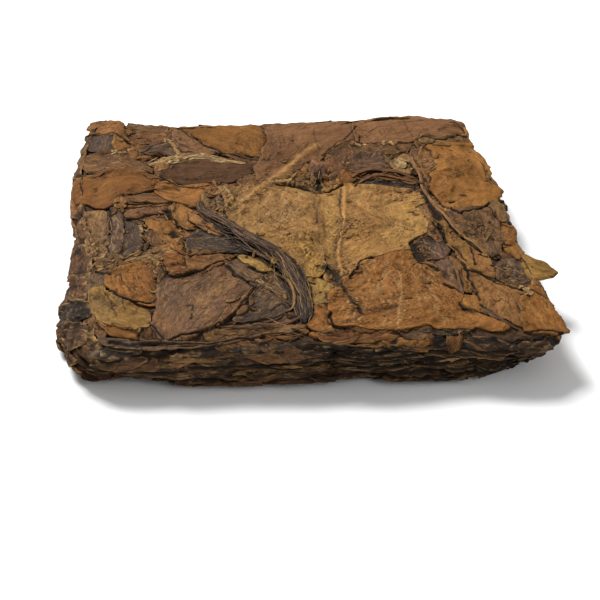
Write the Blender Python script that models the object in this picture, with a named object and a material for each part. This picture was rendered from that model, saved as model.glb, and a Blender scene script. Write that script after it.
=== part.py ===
"""A pressed cake of white tea: a square slab of large dry leaves, lying flat, shown face up.

Lengths are millimetres until a mesh is built, where MM turns them into metres.
X runs to the right along the front edge, Y to the back, Z up from the floor.
"""
import math
import random

import bmesh
import bpy
from mathutils import Matrix, Vector, noise

MM = 0.001

# ------------------------------------------------------------------ driving dimensions
SIDE = 108.0             # side of the pressed square, between its straight edges
THICKNESS = 13.0         # floor to the pressed face
CORNER = 14.0            # power of the rounded square: higher is sharper
LAYERS = 6               # leaf layers that show at the sides
COLUMNS = 92             # points round each layer
BASE_INSET = 3.4         # the underside's edge lies this far inside the sides
BASE_CORNER = 10.0       # and this much further in at the corners
CORNER_LIFT = 8.0        # the pressed corners curl up: their lowest layers end this far in
CORNER_HEIGHT = 9.0      # and their full reach starts at this height
FLARE = 7.0              # the foot of the left side spreads by this much at the front
RAGGED = 1.3             # how far leaf edges stand in or out at the sides
GROOVE = 0.9             # depth of the grooves between layers
SINK = 1.1               # the core lies this far below the leaves of the face
LEAF_DEPTH = 2.3         # from a leaf's upper face down into the core
TORN = 0.15              # how far a leaf's outline is torn in, as a share of its size
MOST_TRIANGLES = 10500
SEED = 11

# Swells and hollows of the pressed face: x, y, rise, reach
SWELLS = (
    (-48, 48, 0.9, 14), (-30, 20, -0.5, 12), (-10, -12, 0.7, 16), (6, 19, -1.2, 9),
    (28, 18, -1.0, 9), (33, 8, -0.8, 8), (46, 24, 0.8, 16), (39, 50, 1.0, 18),
    (29, -15, -1.1, 8), (47, -27, -0.6, 8), (-34, -8, -0.7, 7), (-50, -54, -1.6, 12),
    (20, -36, 0.5, 16), (-15, -46, -0.7, 10), (-28, -38, 0.5, 14), (10, 2, 0.5, 18),
)

# Where the outline leaves the square: side, place along it, reach out, half width
REACHES = (
    ("back", -48, 2.6, 9), ("back", -20, 0.4, 26), ("back", 34, 5.2, 26), ("back", 42, 1.8, 6),
    ("right", 14, 1.8, 7), ("right", 32, 1.0, 10), ("right", -12, -1.4, 10),
    ("left", 22, 3.0, 34), ("front", -20, -1.0, 16), ("front", 26, -1.8, 14), ("front", 6, 1.2, 8),
)

# Leaves and torn pieces of the face, lowest first: x, y, length, width, heading in degrees,
# lift above the pressed face, crown, place of the widest part along the leaf, bluntness
LEAVES = (
    (-37, 51, 15, 8, 0, 0.5, 0.2, 0.5, 0.4),          # back edge, left part
    (-51, 42.5, 14, 9, 82, 0.5, 0.4, 0.5, 0.5),
    (-49.5, 52, 13, 10.5, 95, 1.3, 0.6, 0.55, 0.45),
    (-48, 32, 19, 12, -18, 0.5, 0.2, 0.5, 0.5),
    (-35, 45, 15, 8, -12, 0.7, 0.3, 0.5, 0.5),
    (-45, 43, 13, 4.2, 70, 1.2, 0.2, 0.4, 0.6),
    (-35, 38.3, 12, 6.5, 0, 1.0, 0.3, 0.5, 0.6),
    (-22, 25, 29, 13, 4, 0.2, 0.4, 0.45, 0.75),       # dark spindle leaf
    (-25, 33, 29, 4.5, 5, 1.0, 0.2, 0.5, 0.6),
    (-15, 45.2, 26, 20, -14, 1.2, 0.2, 0.55, 0.35),
    (7, 39.5, 37, 22, 60, 0.7, 0.3, 0.62, 0.4),       # large leaf over the back edge
    (26, 38.5, 19, 8, 2, 0.2, 0.1, 0.5, 0.4),
    (22.5, 32.5, 16, 10, 78, 0.0, 0.2, 0.5, 0.4),
    (37.5, 53, 36, 17, 8, 1.4, 0.4, 0.55, 0.3),        # back right corner
    (38, 29, 20, 6, 98, 0.5, 0.2, 0.5, 0.5),
    (31, 30.5, 12, 6, 78, 1.2, 0.2, 0.5, 0.4),
    (46.5, 23, 40, 17.5, 94, 1.1, 0.5, 0.6, 0.42),    # large leaf along the right edge
    (4, 22.5, 12, 7, 35, 0.3, 0.2, 0.5, 0.5),
    (10, 25, 13, 5.5, 65, 0.8, 0.2, 0.5, 0.5),
    (-2, 19.5, 11, 5, -5, 0.8, 0.2, 0.5, 0.5),
    (-44, 17.5, 24, 16, -12, 0.9, 0.4, 0.4, 0.42),
    (-39.5, 10.5, 16, 4.5, 3, 1.0, 0.2, 0.5, 0.5),
    (-40, 4.8, 15, 4.5, -2, 0.5, 0.2, 0.5, 0.5),
    (-52.3, -3, 16, 6.5, 91, 0.4, 0.2, 0.5, 0.45),
    (-44, -9, 19, 7, 95, 0.0, 0.2, 0.5, 0.5),
    (-47.3, -5, 27, 3.6, 92, 0.8, 0.2, 0.5, 0.4),
    (-36, -6, 18, 7, 108, 0.6, 0.3, 0.5, 0.6),
    (-31, 2, 14, 6.5, 85, 1.1, 0.3, 0.5, 0.5),
    (-29.5, 13.5, 15, 11, 28, 0.9, 0.2, 0.5, 0.4),
    (-20.5, 9, 15, 7, 82, 0.7, 0.3, 0.5, 0.5),
    (-21, -11, 21, 10, -18, 0.2, 0.3, 0.5, 0.5),
    (-24, -3, 13, 4.5, -52, 1.1, 0.2, 0.4, 0.6),
    (-49.5, -22, 10, 7, 20, 0.5, 0.3, 0.5, 0.5),
    (-47, -41, 19, 12.5, -48, 0.8, 0.3, 0.5, 0.5),
    (-43.5, -30, 19, 11, -72, 1.0, 0.3, 0.4, 0.45),
    (-47, -50, 11, 6, 0, 0.3, 0.2, 0.5, 0.4),
    (-40.2, -50.5, 7, 4.5, 95, 0.6, 0.1, 0.5, 0.4),
    (-28, -38.5, 30, 21, 62, 0.6, 0.3, 0.5, 0.38),    # large leaf of the front left
    (-33, -21, 12, 7, -55, 1.1, 0.2, 0.5, 0.5),
    (-26, -20.5, 10, 8, 20, 1.1, 0.3, 0.5, 0.5),
    (-14.5, -40, 17, 13, 28, 0.1, 0.2, 0.5, 0.5),
    (-12.5, -29, 23, 9, -48, 0.5, 0.3, 0.5, 0.5),
    (-15, -48.7, 21, 5, 2, 0.5, 0.2, 0.5, 0.45),
    (-2, -46, 11, 7, 88, 0.7, 0.2, 0.5, 0.4),
    (30, -15.5, 12, 9, 70, -0.2, 0.1, 0.5, 0.4),
    (31.8, -25, 21, 7, -82, 0.4, 0.3, 0.5, 0.5),
    (16, -34.5, 36, 25, 52, 0.9, 0.4, 0.5, 0.35),     # large leaf of the front
    (29, -46.5, 24, 10, -22, 0.7, 0.2, 0.5, 0.5),
    (6, -45, 13, 9, 0, 0.8, 0.2, 0.5, 0.35),
    (-7, -4, 47, 24, 100, 0.9, 0.3, 0.72, 0.5),       # central leaf, left of its rib
    (20, -6, 50, 22, 72, 0.9, 0.3, 0.68, 0.5),        # and right of it
    (-14, -21, 10, 5, -40, 1.2, 0.3, 0.5, 0.6),
    (32.6, -2, 19, 4.6, 94, 0.6, 0.2, 0.5, 0.45),
    (44.5, -5, 26, 13, 97, 0.3, 0.4, 0.6, 0.45),
    (51.3, 2, 15, 4.5, 90, 0.6, 0.2, 0.5, 0.45),
    (50.7, -9, 13, 4, 84, 0.2, 0.2, 0.5, 0.45),
    (48, -27, 14, 8, 82, 0.2, 0.3, 0.5, 0.5),
    (43, -38, 27, 10.5, -68, 0.7, 0.3, 0.5, 0.45),
    (41.5, -25.5, 14, 8.5, -52, 1.0, 0.2, 0.5, 0.5),
    (49.5, -43, 21, 9.5, -84, 0.9, 0.2, 0.55, 0.32),  # front right corner
)

# Leaves that reach out over the sides, lower than the face: as above, but with the height
# above the floor in place of the lift
SIDE_LEAVES = (
    (54.3, -21.5, 15, 8.5, -48, 10.8, 0.4, 0.5, 0.6),
    (53.2, 15.5, 12, 7, 66, 11.4, 0.3, 0.5, 0.6),
    (52.3, -46.5, 18, 8, -84, 8.6, 0.3, 0.5, 0.4),
    (3.5, -53, 17, 7, 0, 10.4, 0.3, 0.5, 0.45),
    (-46, -54, 18, 6, 4, 9.6, 0.3, 0.5, 0.45),
    (-20, -52.6, 26, 6, 3, 10.2, 0.3, 0.5, 0.5),
    (33, -52.6, 24, 6, -3, 9.8, 0.3, 0.5, 0.5),
    (43, 56, 14, 9, 20, 12.3, 0.4, 0.6, 0.45),
    (-57.5, -36, 20, 8, 84, 5.4, 0.3, 0.5, 0.4),
    (-55.4, -8, 24, 7, 90, 6.6, 0.3, 0.5, 0.4),
    (-55.5, 26, 26, 7, 88, 8.4, 0.3, 0.5, 0.4),
)
LOOSE_EDGES = 18         # further leaf edges, scattered round the sides by the seed

# Stems and ribs: x, y, lift and width at the points that shape each one
STEMS = (
    ((-26, 12, 0.4, 2.0), (-24.5, 4, 0.9, 2.6), (-17, -8, 1.4, 3.8), (-9, -16, 1.6, 4.0),
     (-4.6, -28, 1.5, 3.8), (-4.4, -42, 1.0, 3.2), (-5.5, -49, 0.2, 2.2)),
    ((43, 43, 0.7, 1.6), (36.5, 37, 1.1, 1.8), (34.6, 25, 1.0, 1.8), (36, 8, 1.1, 1.9),
     (38.5, -7, 1.2, 1.9), (44.5, -23, 0.7, 1.4)),
    ((2.5, -26, 0.9, 1.3), (5, -16, 1.2, 1.7), (8.5, -4, 1.3, 1.9), (10.5, 15, 1.0, 1.7)),
    ((2, -23, 0.9, 1.9), (5.5, -33, 1.2, 1.7), (9, -45, 0.9, 1.2)),
    ((16, 18.5, 0.0, 1.4), (22, 25, 0.8, 1.9), (34, 21.5, 0.2, 1.5)),
    ((34, -18, 0.5, 1.6), (35.2, -34, 1.0, 2.1), (44, -51.5, 0.8, 1.8)),
    ((-12, 15.5, 0.6, 1.2), (-1, 29, 1.0, 1.6), (9, 41.5, 0.9, 1.2)),
    ((-38, 30.5, 0.8, 1.6), (-29, 35.5, 1.3, 1.9), (-33, 46, 0.8, 1.3)),
)


# ------------------------------------------------------------------ form of the slab
def bell(distance, reach):
    """A smooth hump: one at no distance, nothing from the reach outwards."""
    share = min(abs(distance) / reach, 1.0)
    return (1.0 - share * share) ** 2


def pressed_height(x, y):
    """Height of the pressed face: its swells and hollows, and its border that rolls down."""
    height = THICKNESS
    for swell_x, swell_y, rise, reach in SWELLS:
        height += rise * bell(math.hypot(x - swell_x, y - swell_y), reach)
    to_border = SIDE / 2.0 - max(abs(x), abs(y))
    return height - 1.5 * bell(max(to_border, 0.0), 7.0)


def border(turn):
    """Point and outward direction on the rounded square, at a share of the way round."""
    side, along = divmod((turn % 1.0) * 4.0, 1.0)
    corner = Matrix.Rotation(side * math.pi / 2.0, 2)
    point = corner @ Vector((1.0, 2.0 * along - 1.0))
    spread = (abs(point.x) ** CORNER + abs(point.y) ** CORNER) ** (1.0 / CORNER)
    point *= SIDE / 2.0 / spread
    outward = Vector([math.copysign(abs(c / SIDE * 2.0) ** (CORNER - 1.0), c) for c in point])
    return point, outward.normalized()


def reach_out(point, outward):
    """How far the outline stands out of the square, or lies inside it, at a border point."""
    total = 0.0
    for side, place, reach, half_width in REACHES:
        across = {"back": outward.y, "front": -outward.y, "right": outward.x, "left": -outward.x}
        along = point.x if side in ("back", "front") else point.y
        total += max(across[side], 0.0) * reach * bell(along - place, half_width)
    return total


def corner_share(point):
    """Zero along the sides, one at a corner."""
    return bell(math.hypot(SIDE / 2.0 - abs(point.x), SIDE / 2.0 - abs(point.y)), 22.0)


def foot_flare(point, outward, height):
    """The spread of the left side towards its foot, widest at the front."""
    down = max(0.0, 1.0 - height / THICKNESS) ** 0.8
    forward = 0.35 + 0.65 * (0.5 - point.y / SIDE)
    return FLARE * forward * down * max(-outward.x, 0.0)


def torn_edge(rng):
    """In and out steps of a torn leaf layer round the slab: runs of seeded width and depth."""
    steps = []
    while len(steps) < COLUMNS:
        steps += [rng.uniform(-1.0, 1.0)] * rng.randint(2, 6)
    return steps[:COLUMNS]


def wall_ring(layer, place, rng):
    """One ring of the sides: a layer's torn edge, or with a half place the groove above it."""
    edge = torn_edge(rng)
    pitch = (THICKNESS - 2.2) / LAYERS
    level = 1.0 + pitch * (layer + place)
    ring = []
    for column in range(COLUMNS):
        turn = column / COLUMNS
        point, outward = border(turn)
        wave = noise.noise(Vector((point.x, point.y, 0.0)) / 17.0) * 0.55
        height = level + wave + 0.25 * noise.noise(Vector((point.x, point.y, level)) / 5.0)
        out = reach_out(point, outward) * (height / THICKNESS) + foot_flare(point, outward, height)
        out -= corner_share(point) * CORNER_LIFT * max(0.0, 1.0 - height / CORNER_HEIGHT)
        out += RAGGED * edge[column] if place < 0.75 else -GROOVE + 0.4 * RAGGED * edge[column]
        spot = point + outward * out
        ring.append(Vector((spot.x, spot.y, height)))
    return ring


def foot_ring():
    """The edge of the flat underside: inside the sides, and further in at the corners."""
    ring = []
    for column in range(COLUMNS):
        point, outward = border(column / COLUMNS)
        inset = BASE_INSET + BASE_CORNER * corner_share(point)
        spot = point - outward * inset + outward * 0.5 * foot_flare(point, outward, 0.0)
        ring.append(Vector((spot.x, spot.y, 0.0)))
    return ring


def face_ring(share):
    """A ring of the core's upper face, at a share of the way from the middle to the border."""
    ring = []
    for column in range(COLUMNS):
        point, outward = border(column / COLUMNS)
        spot = (point + outward * (reach_out(point, outward) - 1.2)) * share
        rough = 0.5 * noise.noise(Vector((spot.x, spot.y, 3.0)) / 4.0)
        ring.append(Vector((spot.x, spot.y, pressed_height(spot.x, spot.y) - SINK + rough)))
    return ring


# ------------------------------------------------------------------ meshes
def new_object(name, shape, material, collection):
    """An object from a bmesh in millimetres, its mesh in metres."""
    bmesh.ops.scale(shape, vec=(MM, MM, MM), verts=shape.verts)
    bmesh.ops.recalc_face_normals(shape, faces=shape.faces)
    mesh = bpy.data.meshes.new(name)
    shape.to_mesh(mesh)
    shape.free()
    mesh.materials.append(material)
    made = bpy.data.objects.new(name, mesh)
    collection.objects.link(made)
    return made


def stack_rings(shape, rings, low_tip, high_tip):
    """A closed skin through rings of equal count, shut by a point or a flat face at each end."""
    rows = [[shape.verts.new(spot) for spot in ring] for ring in rings]
    count = len(rows[0])
    for lower, upper in zip(rows, rows[1:]):
        for k in range(count):
            after = (k + 1) % count
            shape.faces.new((lower[k], lower[after], upper[after], upper[k]))
    for row, tip in ((rows[0], low_tip), (rows[-1], high_tip)):
        if tip is None:
            shape.faces.new(row)
            continue
        middle = shape.verts.new(tip)
        for k in range(count):
            shape.faces.new((row[k], row[(k + 1) % count], middle))


def build_core(material, collection):
    """The slab itself: torn layers round the sides, the rough bed under the leaves on top."""
    rng = random.Random(SEED)
    rings = [foot_ring()]
    for layer in range(LAYERS):
        rings.append(wall_ring(layer, 0.5, rng))
        rings.append(wall_ring(layer, 1.0, rng))
    rings += [face_ring(share) for share in (1.0, 0.86, 0.6, 0.3)]
    shape = bmesh.new()
    stack_rings(shape, rings, None, Vector((0.0, 0.0, pressed_height(0.0, 0.0) - SINK)))
    return new_object("tea_cake", shape, material, collection)


def leaf_outline(length, width, widest, blunt, rng):
    """A leaf in its own plane: half widths swell to the widest place and are torn a little."""
    count = max(8, min(16, round((length + width) / 3.6)))
    outline = []
    for k in range(count):
        angle = 2.0 * math.pi * (k + 0.5) / count
        along = 0.5 - 0.5 * math.cos(angle)
        skewed = along ** (math.log(0.5) / math.log(widest))
        half = max(math.sin(math.pi * skewed), 0.0) ** blunt
        torn = rng.uniform(1.0 - TORN, 1.0 + 0.4 * TORN)
        across = math.copysign(half, math.sin(angle)) * width / 2.0 * torn
        outline.append(Vector(((along - 0.5) * length * torn, across)))
    return outline


def add_leaf(name, row, floor_height, depth, rng, material, collection):
    """One leaf plate that follows the bed under it, with its lower face sunk by the depth."""
    x, y, length, width, heading, lift, crown, widest, blunt = row
    turn = Matrix.Rotation(math.radians(heading), 2)
    centre = Vector((x, y))
    outline = [turn @ spot + centre for spot in leaf_outline(length, width, widest, blunt, rng)]
    lean = Vector((rng.uniform(-0.03, 0.03), rng.uniform(-0.03, 0.03)))

    def ring(share, rise):
        spots = [centre + (spot - centre) * share for spot in outline]
        return [Vector((s.x, s.y, floor_height(s.x, s.y) + rise + lean.dot(s - centre))) for s in spots]

    rings = [ring(0.94, lift - depth), ring(1.0, lift), ring(0.6, lift + crown)]
    low = Vector((x, y, floor_height(x, y) + lift - depth))
    high = Vector((x, y, floor_height(x, y) + lift + crown))
    shape = bmesh.new()
    stack_rings(shape, rings, low, high)
    return new_object(name, shape, material, collection)


def smooth_path(points, steps):
    """Catmull-Rom curve through the points, each of any number of values."""
    ends = [2.0 * points[0] - points[1]] + points + [2.0 * points[-1] - points[-2]]
    path = []
    for a, b, c, d in zip(ends, ends[1:], ends[2:], ends[3:]):
        for step in range(steps):
            t = step / steps
            path.append(0.5 * (2 * b + (c - a) * t + (2 * a - 5 * b + 4 * c - d) * t * t
                               + (3 * b - a - 3 * c + d) * t ** 3))
    return path + [points[-1]]


def add_stem(name, points, material, collection):
    """A stem half sunk in the face: a flat oval carried along its path."""
    path = smooth_path([Vector(point) for point in points], 3)
    rings = []
    for k, spot in enumerate(path):
        ahead = path[min(k + 1, len(path) - 1)] - path[max(k - 1, 0)]
        across = Vector((-ahead.y, ahead.x)).normalized()
        height = pressed_height(spot.x, spot.y) + spot.z - 0.35 * spot.w
        ring = []
        for corner in range(6):
            angle = math.pi / 3.0 * (corner + 0.5)
            side = across * (0.5 * spot.w * math.cos(angle))
            ring.append(Vector((spot.x + side.x, spot.y + side.y,
                                height + 0.45 * spot.w * math.sin(angle))))
        rings.append(ring)
    shape = bmesh.new()
    stack_rings(shape, rings, None, None)
    return new_object(name, shape, material, collection)


def add_loose_edge(name, turn, height, rng, material, collection):
    """A thin leaf edge that stands out of a side between two layers."""
    point, outward = border(turn)
    out = foot_flare(point, outward, height) + reach_out(point, outward) * height / THICKNESS
    spot = point + outward * (out - 2.2)
    heading = math.degrees(math.atan2(outward.x, -outward.y)) + rng.uniform(-14.0, 14.0)
    row = (spot.x, spot.y, rng.uniform(8.0, 16.0), rng.uniform(5.5, 7.5), heading, 0.0,
           rng.uniform(0.1, 0.5), rng.uniform(0.4, 0.6), 0.5)
    tilt = rng.uniform(-0.12, 0.12)
    lay = lambda x, y: height + tilt * (Vector((x, y)) - spot).dot(outward)
    return add_leaf(name, row, lay, 0.9, rng, material, collection)


# ------------------------------------------------------------------ joining
def fuse(core, helpers):
    """One union of the core with every leaf and stem; the helpers are then removed."""
    union = core.modifiers.new("fused leaves", "BOOLEAN")
    union.operation = "UNION"
    union.operand_type = "COLLECTION"
    union.collection = helpers
    union.solver = "MANIFOLD"
    bpy.context.view_layer.update()
    evaluated = core.evaluated_get(bpy.context.evaluated_depsgraph_get())
    fused = bpy.data.meshes.new_from_object(evaluated)
    core.modifiers.clear()
    core.data = fused
    for helper in list(helpers.objects):
        bpy.data.objects.remove(helper)
    bpy.data.collections.remove(helpers)


def drop_scraps(mesh):
    """Keep only the largest shell, in triangles."""
    shape = bmesh.new()
    shape.from_mesh(mesh)
    unseen = set(shape.verts)
    shells = []
    while unseen:
        shell, front = set(), [unseen.pop()]
        while front:
            vert = front.pop()
            shell.add(vert)
            linked = [edge.other_vert(vert) for edge in vert.link_edges]
            fresh = [other for other in linked if other in unseen]
            unseen.difference_update(fresh)
            front += fresh
        shells.append(shell)
    largest = max(shells, key=len)
    scraps = [vert for shell in shells if shell is not largest for vert in shell]
    bmesh.ops.delete(shape, geom=scraps, context="VERTS")
    bmesh.ops.triangulate(shape, faces=shape.faces)
    shape.to_mesh(mesh)
    shape.free()


def thin_out(core):
    """Merge the smallest triangles, slivers first, down to the most that the slab may have."""
    thinned = core.modifiers.new("fewer triangles", "DECIMATE")
    thinned.ratio = min(1.0, MOST_TRIANGLES / len(core.data.polygons))
    thinned.use_collapse_triangulate = True


def leaf_material():
    """Dry pressed leaf: brown, matt with a faint dull shine."""
    material = bpy.data.materials.new("pressed_leaf")
    material.use_nodes = True
    shader = material.node_tree.nodes["Principled BSDF"]
    shader.inputs["Base Color"].default_value = (0.20, 0.105, 0.045, 1.0)
    shader.inputs["Roughness"].default_value = 0.8
    shader.inputs["Metallic"].default_value = 0.0
    return material


def main():
    for old in list(bpy.data.objects):
        bpy.data.objects.remove(old)
    scene = bpy.context.scene.collection
    helpers = bpy.data.collections.new("leaves to fuse")
    scene.children.link(helpers)
    material = leaf_material()
    core = build_core(material, scene)
    rng = random.Random(SEED + 1)
    for k, row in enumerate(LEAVES):
        add_leaf(f"leaf_{k}", row, pressed_height, LEAF_DEPTH, rng, material, helpers)
    for k, row in enumerate(SIDE_LEAVES):
        flat = row[:5] + (0.0,) + row[6:]
        add_leaf(f"side_leaf_{k}", flat, lambda x, y, z=row[5]: z, 1.1, rng, material, helpers)
    for k in range(LOOSE_EDGES):
        turn = (k + rng.uniform(0.2, 0.8)) / LOOSE_EDGES
        height = rng.uniform(2.5, THICKNESS - 2.5)
        add_loose_edge(f"edge_{k}", turn, height, rng, material, helpers)
    for k, points in enumerate(STEMS):
        add_stem(f"stem_{k}", points, material, helpers)
    fuse(core, helpers)
    drop_scraps(core.data)
    thin_out(core)
    core.data.transform(Matrix.Translation(-box_bottom_centre(core.data)))


def box_bottom_centre(mesh):
    """The middle of the mesh's box, at its lowest height."""
    xs, ys, zs = zip(*(vert.co for vert in mesh.vertices))
    return Vector(((min(xs) + max(xs)) / 2.0, (min(ys) + max(ys)) / 2.0, min(zs)))


main()
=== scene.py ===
import math

import bpy
import numpy as np
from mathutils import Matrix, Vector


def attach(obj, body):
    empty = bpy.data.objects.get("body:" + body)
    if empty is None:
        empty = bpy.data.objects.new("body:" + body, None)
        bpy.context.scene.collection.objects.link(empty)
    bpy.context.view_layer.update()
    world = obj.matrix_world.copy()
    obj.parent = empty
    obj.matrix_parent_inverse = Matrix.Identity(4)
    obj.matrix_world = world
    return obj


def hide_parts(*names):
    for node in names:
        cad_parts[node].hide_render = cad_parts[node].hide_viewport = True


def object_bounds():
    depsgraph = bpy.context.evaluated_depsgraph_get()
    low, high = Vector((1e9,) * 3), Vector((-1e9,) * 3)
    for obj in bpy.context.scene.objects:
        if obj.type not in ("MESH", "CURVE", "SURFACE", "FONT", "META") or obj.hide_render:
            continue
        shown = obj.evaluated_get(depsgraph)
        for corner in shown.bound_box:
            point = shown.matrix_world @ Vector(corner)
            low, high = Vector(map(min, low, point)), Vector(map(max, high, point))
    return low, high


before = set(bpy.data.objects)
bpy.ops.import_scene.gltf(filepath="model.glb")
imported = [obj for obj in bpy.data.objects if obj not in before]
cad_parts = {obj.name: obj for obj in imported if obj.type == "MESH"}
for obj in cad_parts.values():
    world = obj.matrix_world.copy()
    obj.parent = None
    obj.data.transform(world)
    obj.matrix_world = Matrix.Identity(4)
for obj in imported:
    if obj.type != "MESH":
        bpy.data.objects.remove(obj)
cad_low, cad_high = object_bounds()

# White tea cake: a square of large dry leaves, pressed flat. Lengths are millimetres, from the
# middle of the pressed square and up from the floor; only write_mesh turns them into metres.

# ------------------------------------------------------------------ the bed of broken leaf
# Under the leaves that show lies a slab of broken leaf and dust, pressed so hard that it holds
# together. It shows in the cracks only, dark and rough. Its left side spreads towards the foot,
# and its corners curl up.
SIDE = 108.0             # side of the pressed square
THICKNESS = 13.0         # floor to the pressed face
CORNER_POWER = 14.0      # the square's corners are rounded: a higher power is sharper
FLARE_BACK = 3.0         # the foot of the left side spreads by this much at the back
FLARE_FRONT = 11.4       # and by this much at the front
CORNER_LIFT = 8.0        # the lowest layers end this far in at the corners
CORNER_HEIGHT = 9.0      # and reach their full width at this height
FOOT_ROUND = 2.2         # below this height the sides turn in
FOOT_INSET = 3.2         # to meet the floor this far inside
BED_SINK = 1.3           # the bed lies this far below the pressed face
LEFT_TO_MIDDLE = 61.600  # from the left of the CAD box to the middle of the square
FRONT_TO_MIDDLE = 56.704
MM = 0.001

# Swells and hollows of the face: x, y, rise, reach
SWELLS = (
    (-48, 48, 1.5, 14), (-30, 20, -0.5, 12), (-10, -12, 1.2, 15), (6, 19, -1.2, 9),
    (28, 18, -1.0, 9), (33, 8, -0.8, 8), (46, 24, 1.2, 16), (39, 50, 1.4, 18), (11, 24, 1.3, 8),
    (50, 55, 0.5, 9),
    (29, -15, -1.1, 8), (47, -27, -0.6, 8), (-34, -8, -0.7, 7), (-50, -54, -1.6, 12),
    (20, -36, 0.5, 16), (-15, -46, -0.7, 10), (-28, -38, 0.5, 14), (10, 2, 0.5, 18), (8, 56, 0.9, 22),
)
# Where the outline leaves the square: outward direction, place along the side, reach, half width
REACHES = (
    ((0, 1), -48, 2.6, 9), ((0, 1), -20, 0.4, 26), ((0, 1), 34, 5.2, 26), ((0, 1), 42, 1.4, 5),
    ((0, 1), 51, 2.4, 7),
    ((1, 0), 14, 1.8, 7), ((1, 0), 32, 1.0, 10), ((1, 0), -12, -1.4, 10),
    ((-1, 0), 22, 3.0, 34), ((0, -1), -20, -1.0, 16), ((0, -1), 26, -1.8, 14), ((0, -1), 6, 1.2, 8),
)
MIDDLE = np.array([cad_low.x / MM + LEFT_TO_MIDDLE, cad_low.y / MM + FRONT_TO_MIDDLE, 0.0])
TURNS = np.random.default_rng(7).random((256, 256)) * 2.0 * math.pi
SLOPES = np.cos(TURNS), np.sin(TURNS)


def ripple(x, y, size, seed=0):
    """Smooth noise, about -1 to 1: a random slope at each corner of a grid of the given size,
    and the four slopes' heights blended by the S curve 6t^5 - 15t^4 + 10t^3."""
    x, y = np.asarray(x) / size + 31.7 * seed, np.asarray(y) / size + 11.3 * seed
    i, j = np.floor(x).astype(int), np.floor(y).astype(int)
    x, y = x - i, y - j

    def corner(di, dj):
        at = (i + di) & 255, (j + dj) & 255
        return SLOPES[0][at] * (x - di) + SLOPES[1][at] * (y - dj)

    blend_x, blend_y = (t ** 3 * (t * (6.0 * t - 15.0) + 10.0) for t in (x, y))
    low = corner(0, 0) * (1.0 - blend_x) + corner(1, 0) * blend_x
    high = corner(0, 1) * (1.0 - blend_x) + corner(1, 1) * blend_x
    return 1.5 * (low * (1.0 - blend_y) + high * blend_y)


def rough(x, y, size, octaves=3, seed=0):
    """Ripples added up, each octave half the size and a little over half the height."""
    return sum(0.55 ** k * ripple(x, y, size / 2 ** k, seed + 13 * k) for k in range(octaves))


def creases(x, y, size, seed=0):
    """Sharp ridges between smooth hollows: one minus the ripple's distance from zero."""
    first = 1.0 - np.abs(ripple(x, y, size, seed)) * 1.4
    second = 1.0 - np.abs(ripple(x, y, 0.45 * size, seed + 5)) * 1.4
    return 0.68 * first + 0.32 * second


def bell(distance, reach):
    """A smooth hump: one at no distance, (1 - share^2)^2 on the way, nothing from the reach on."""
    return (1.0 - np.minimum(np.abs(distance) / reach, 1.0) ** 2) ** 2


def ease(t):
    """An S curve from 0 to 1: 3t^2 - 2t^3 of the clipped value."""
    t = np.clip(t, 0.0, 1.0)
    return t * t * (3.0 - 2.0 * t)


def press_height(x, y):
    """Height of the pressed face: its swells and hollows, and its border that rolls down, least
    at the back."""
    roll = 1.1 - 0.9 * ease(0.5 + (y - abs(x)) / 8.0)
    height = THICKNESS - roll * bell(np.maximum(SIDE / 2.0 - np.maximum(abs(x), abs(y)), 0.0), 7.0)
    for swell_x, swell_y, rise, reach in SWELLS:
        height = height + rise * bell(np.hypot(x - swell_x, y - swell_y), reach)
    return height


def border(along):
    """Point and outward direction on the rounded square |x|^p + |y|^p = r^p, at a length along
    its border from the front right corner, and how near that point is to a corner."""
    side, share = np.divmod(along / SIDE, 1.0)
    turn, across = side * math.pi / 2.0, 2.0 * share - 1.0
    x = np.round(np.cos(turn)) - np.round(np.sin(turn)) * across
    y = np.round(np.sin(turn)) + np.round(np.cos(turn)) * across
    spread = (abs(x) ** CORNER_POWER + abs(y) ** CORNER_POWER) ** (1.0 / CORNER_POWER)
    x, y = x / spread, y / spread
    out_x, out_y = (np.sign(c) * abs(c) ** (CORNER_POWER - 1.0) for c in (x, y))
    size = np.hypot(out_x, out_y)
    x, y = x * SIDE / 2.0, y * SIDE / 2.0
    corner = bell(np.hypot(SIDE / 2.0 - abs(x), SIDE / 2.0 - abs(y)), 22.0)
    return x, y, out_x / size, out_y / size, corner


def stand_out(x, y, out_x, out_y):
    """How far the outline stands out of the square: the sum of the reaches facing that way."""
    total = 0.0
    for (face_x, face_y), place, reach, half_width in REACHES:
        along = y if face_x else x
        facing = np.maximum(out_x * face_x + out_y * face_y, 0.0)
        total = total + facing * reach * bell(along - place, half_width)
    return total


def wall(along, height, proud):
    """Point on the slab's sides: the border, moved outwards by its reach, by the flare of the
    left side, which grows to (1 - height share)^0.8 at the foot, and by proud, and inwards at
    the corners and at the rounded foot. The full height ends just under the face's border."""
    height = np.maximum(height, 0.0)
    x, y, out_x, out_y, corner = border(along)
    flare = FLARE_BACK + (FLARE_FRONT - FLARE_BACK) * (0.5 - y / SIDE) ** 2
    down = np.maximum(0.0, 1.0 - height / THICKNESS) ** 0.8
    out = stand_out(x, y, out_x, out_y) * height / THICKNESS + proud
    out = out + flare * down * np.maximum(-out_x, 0.0)
    out = out - corner * CORNER_LIFT * np.maximum(0.0, 1.0 - height / CORNER_HEIGHT)
    out = out - FOOT_INSET * np.maximum(0.0, 1.0 - height / FOOT_ROUND) ** 1.5
    top = (press_height(x, y) - 0.5) / THICKNESS
    return np.stack([x + out_x * out, y + out_y * out, height * top + 0.0 * x], axis=-1)


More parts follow.
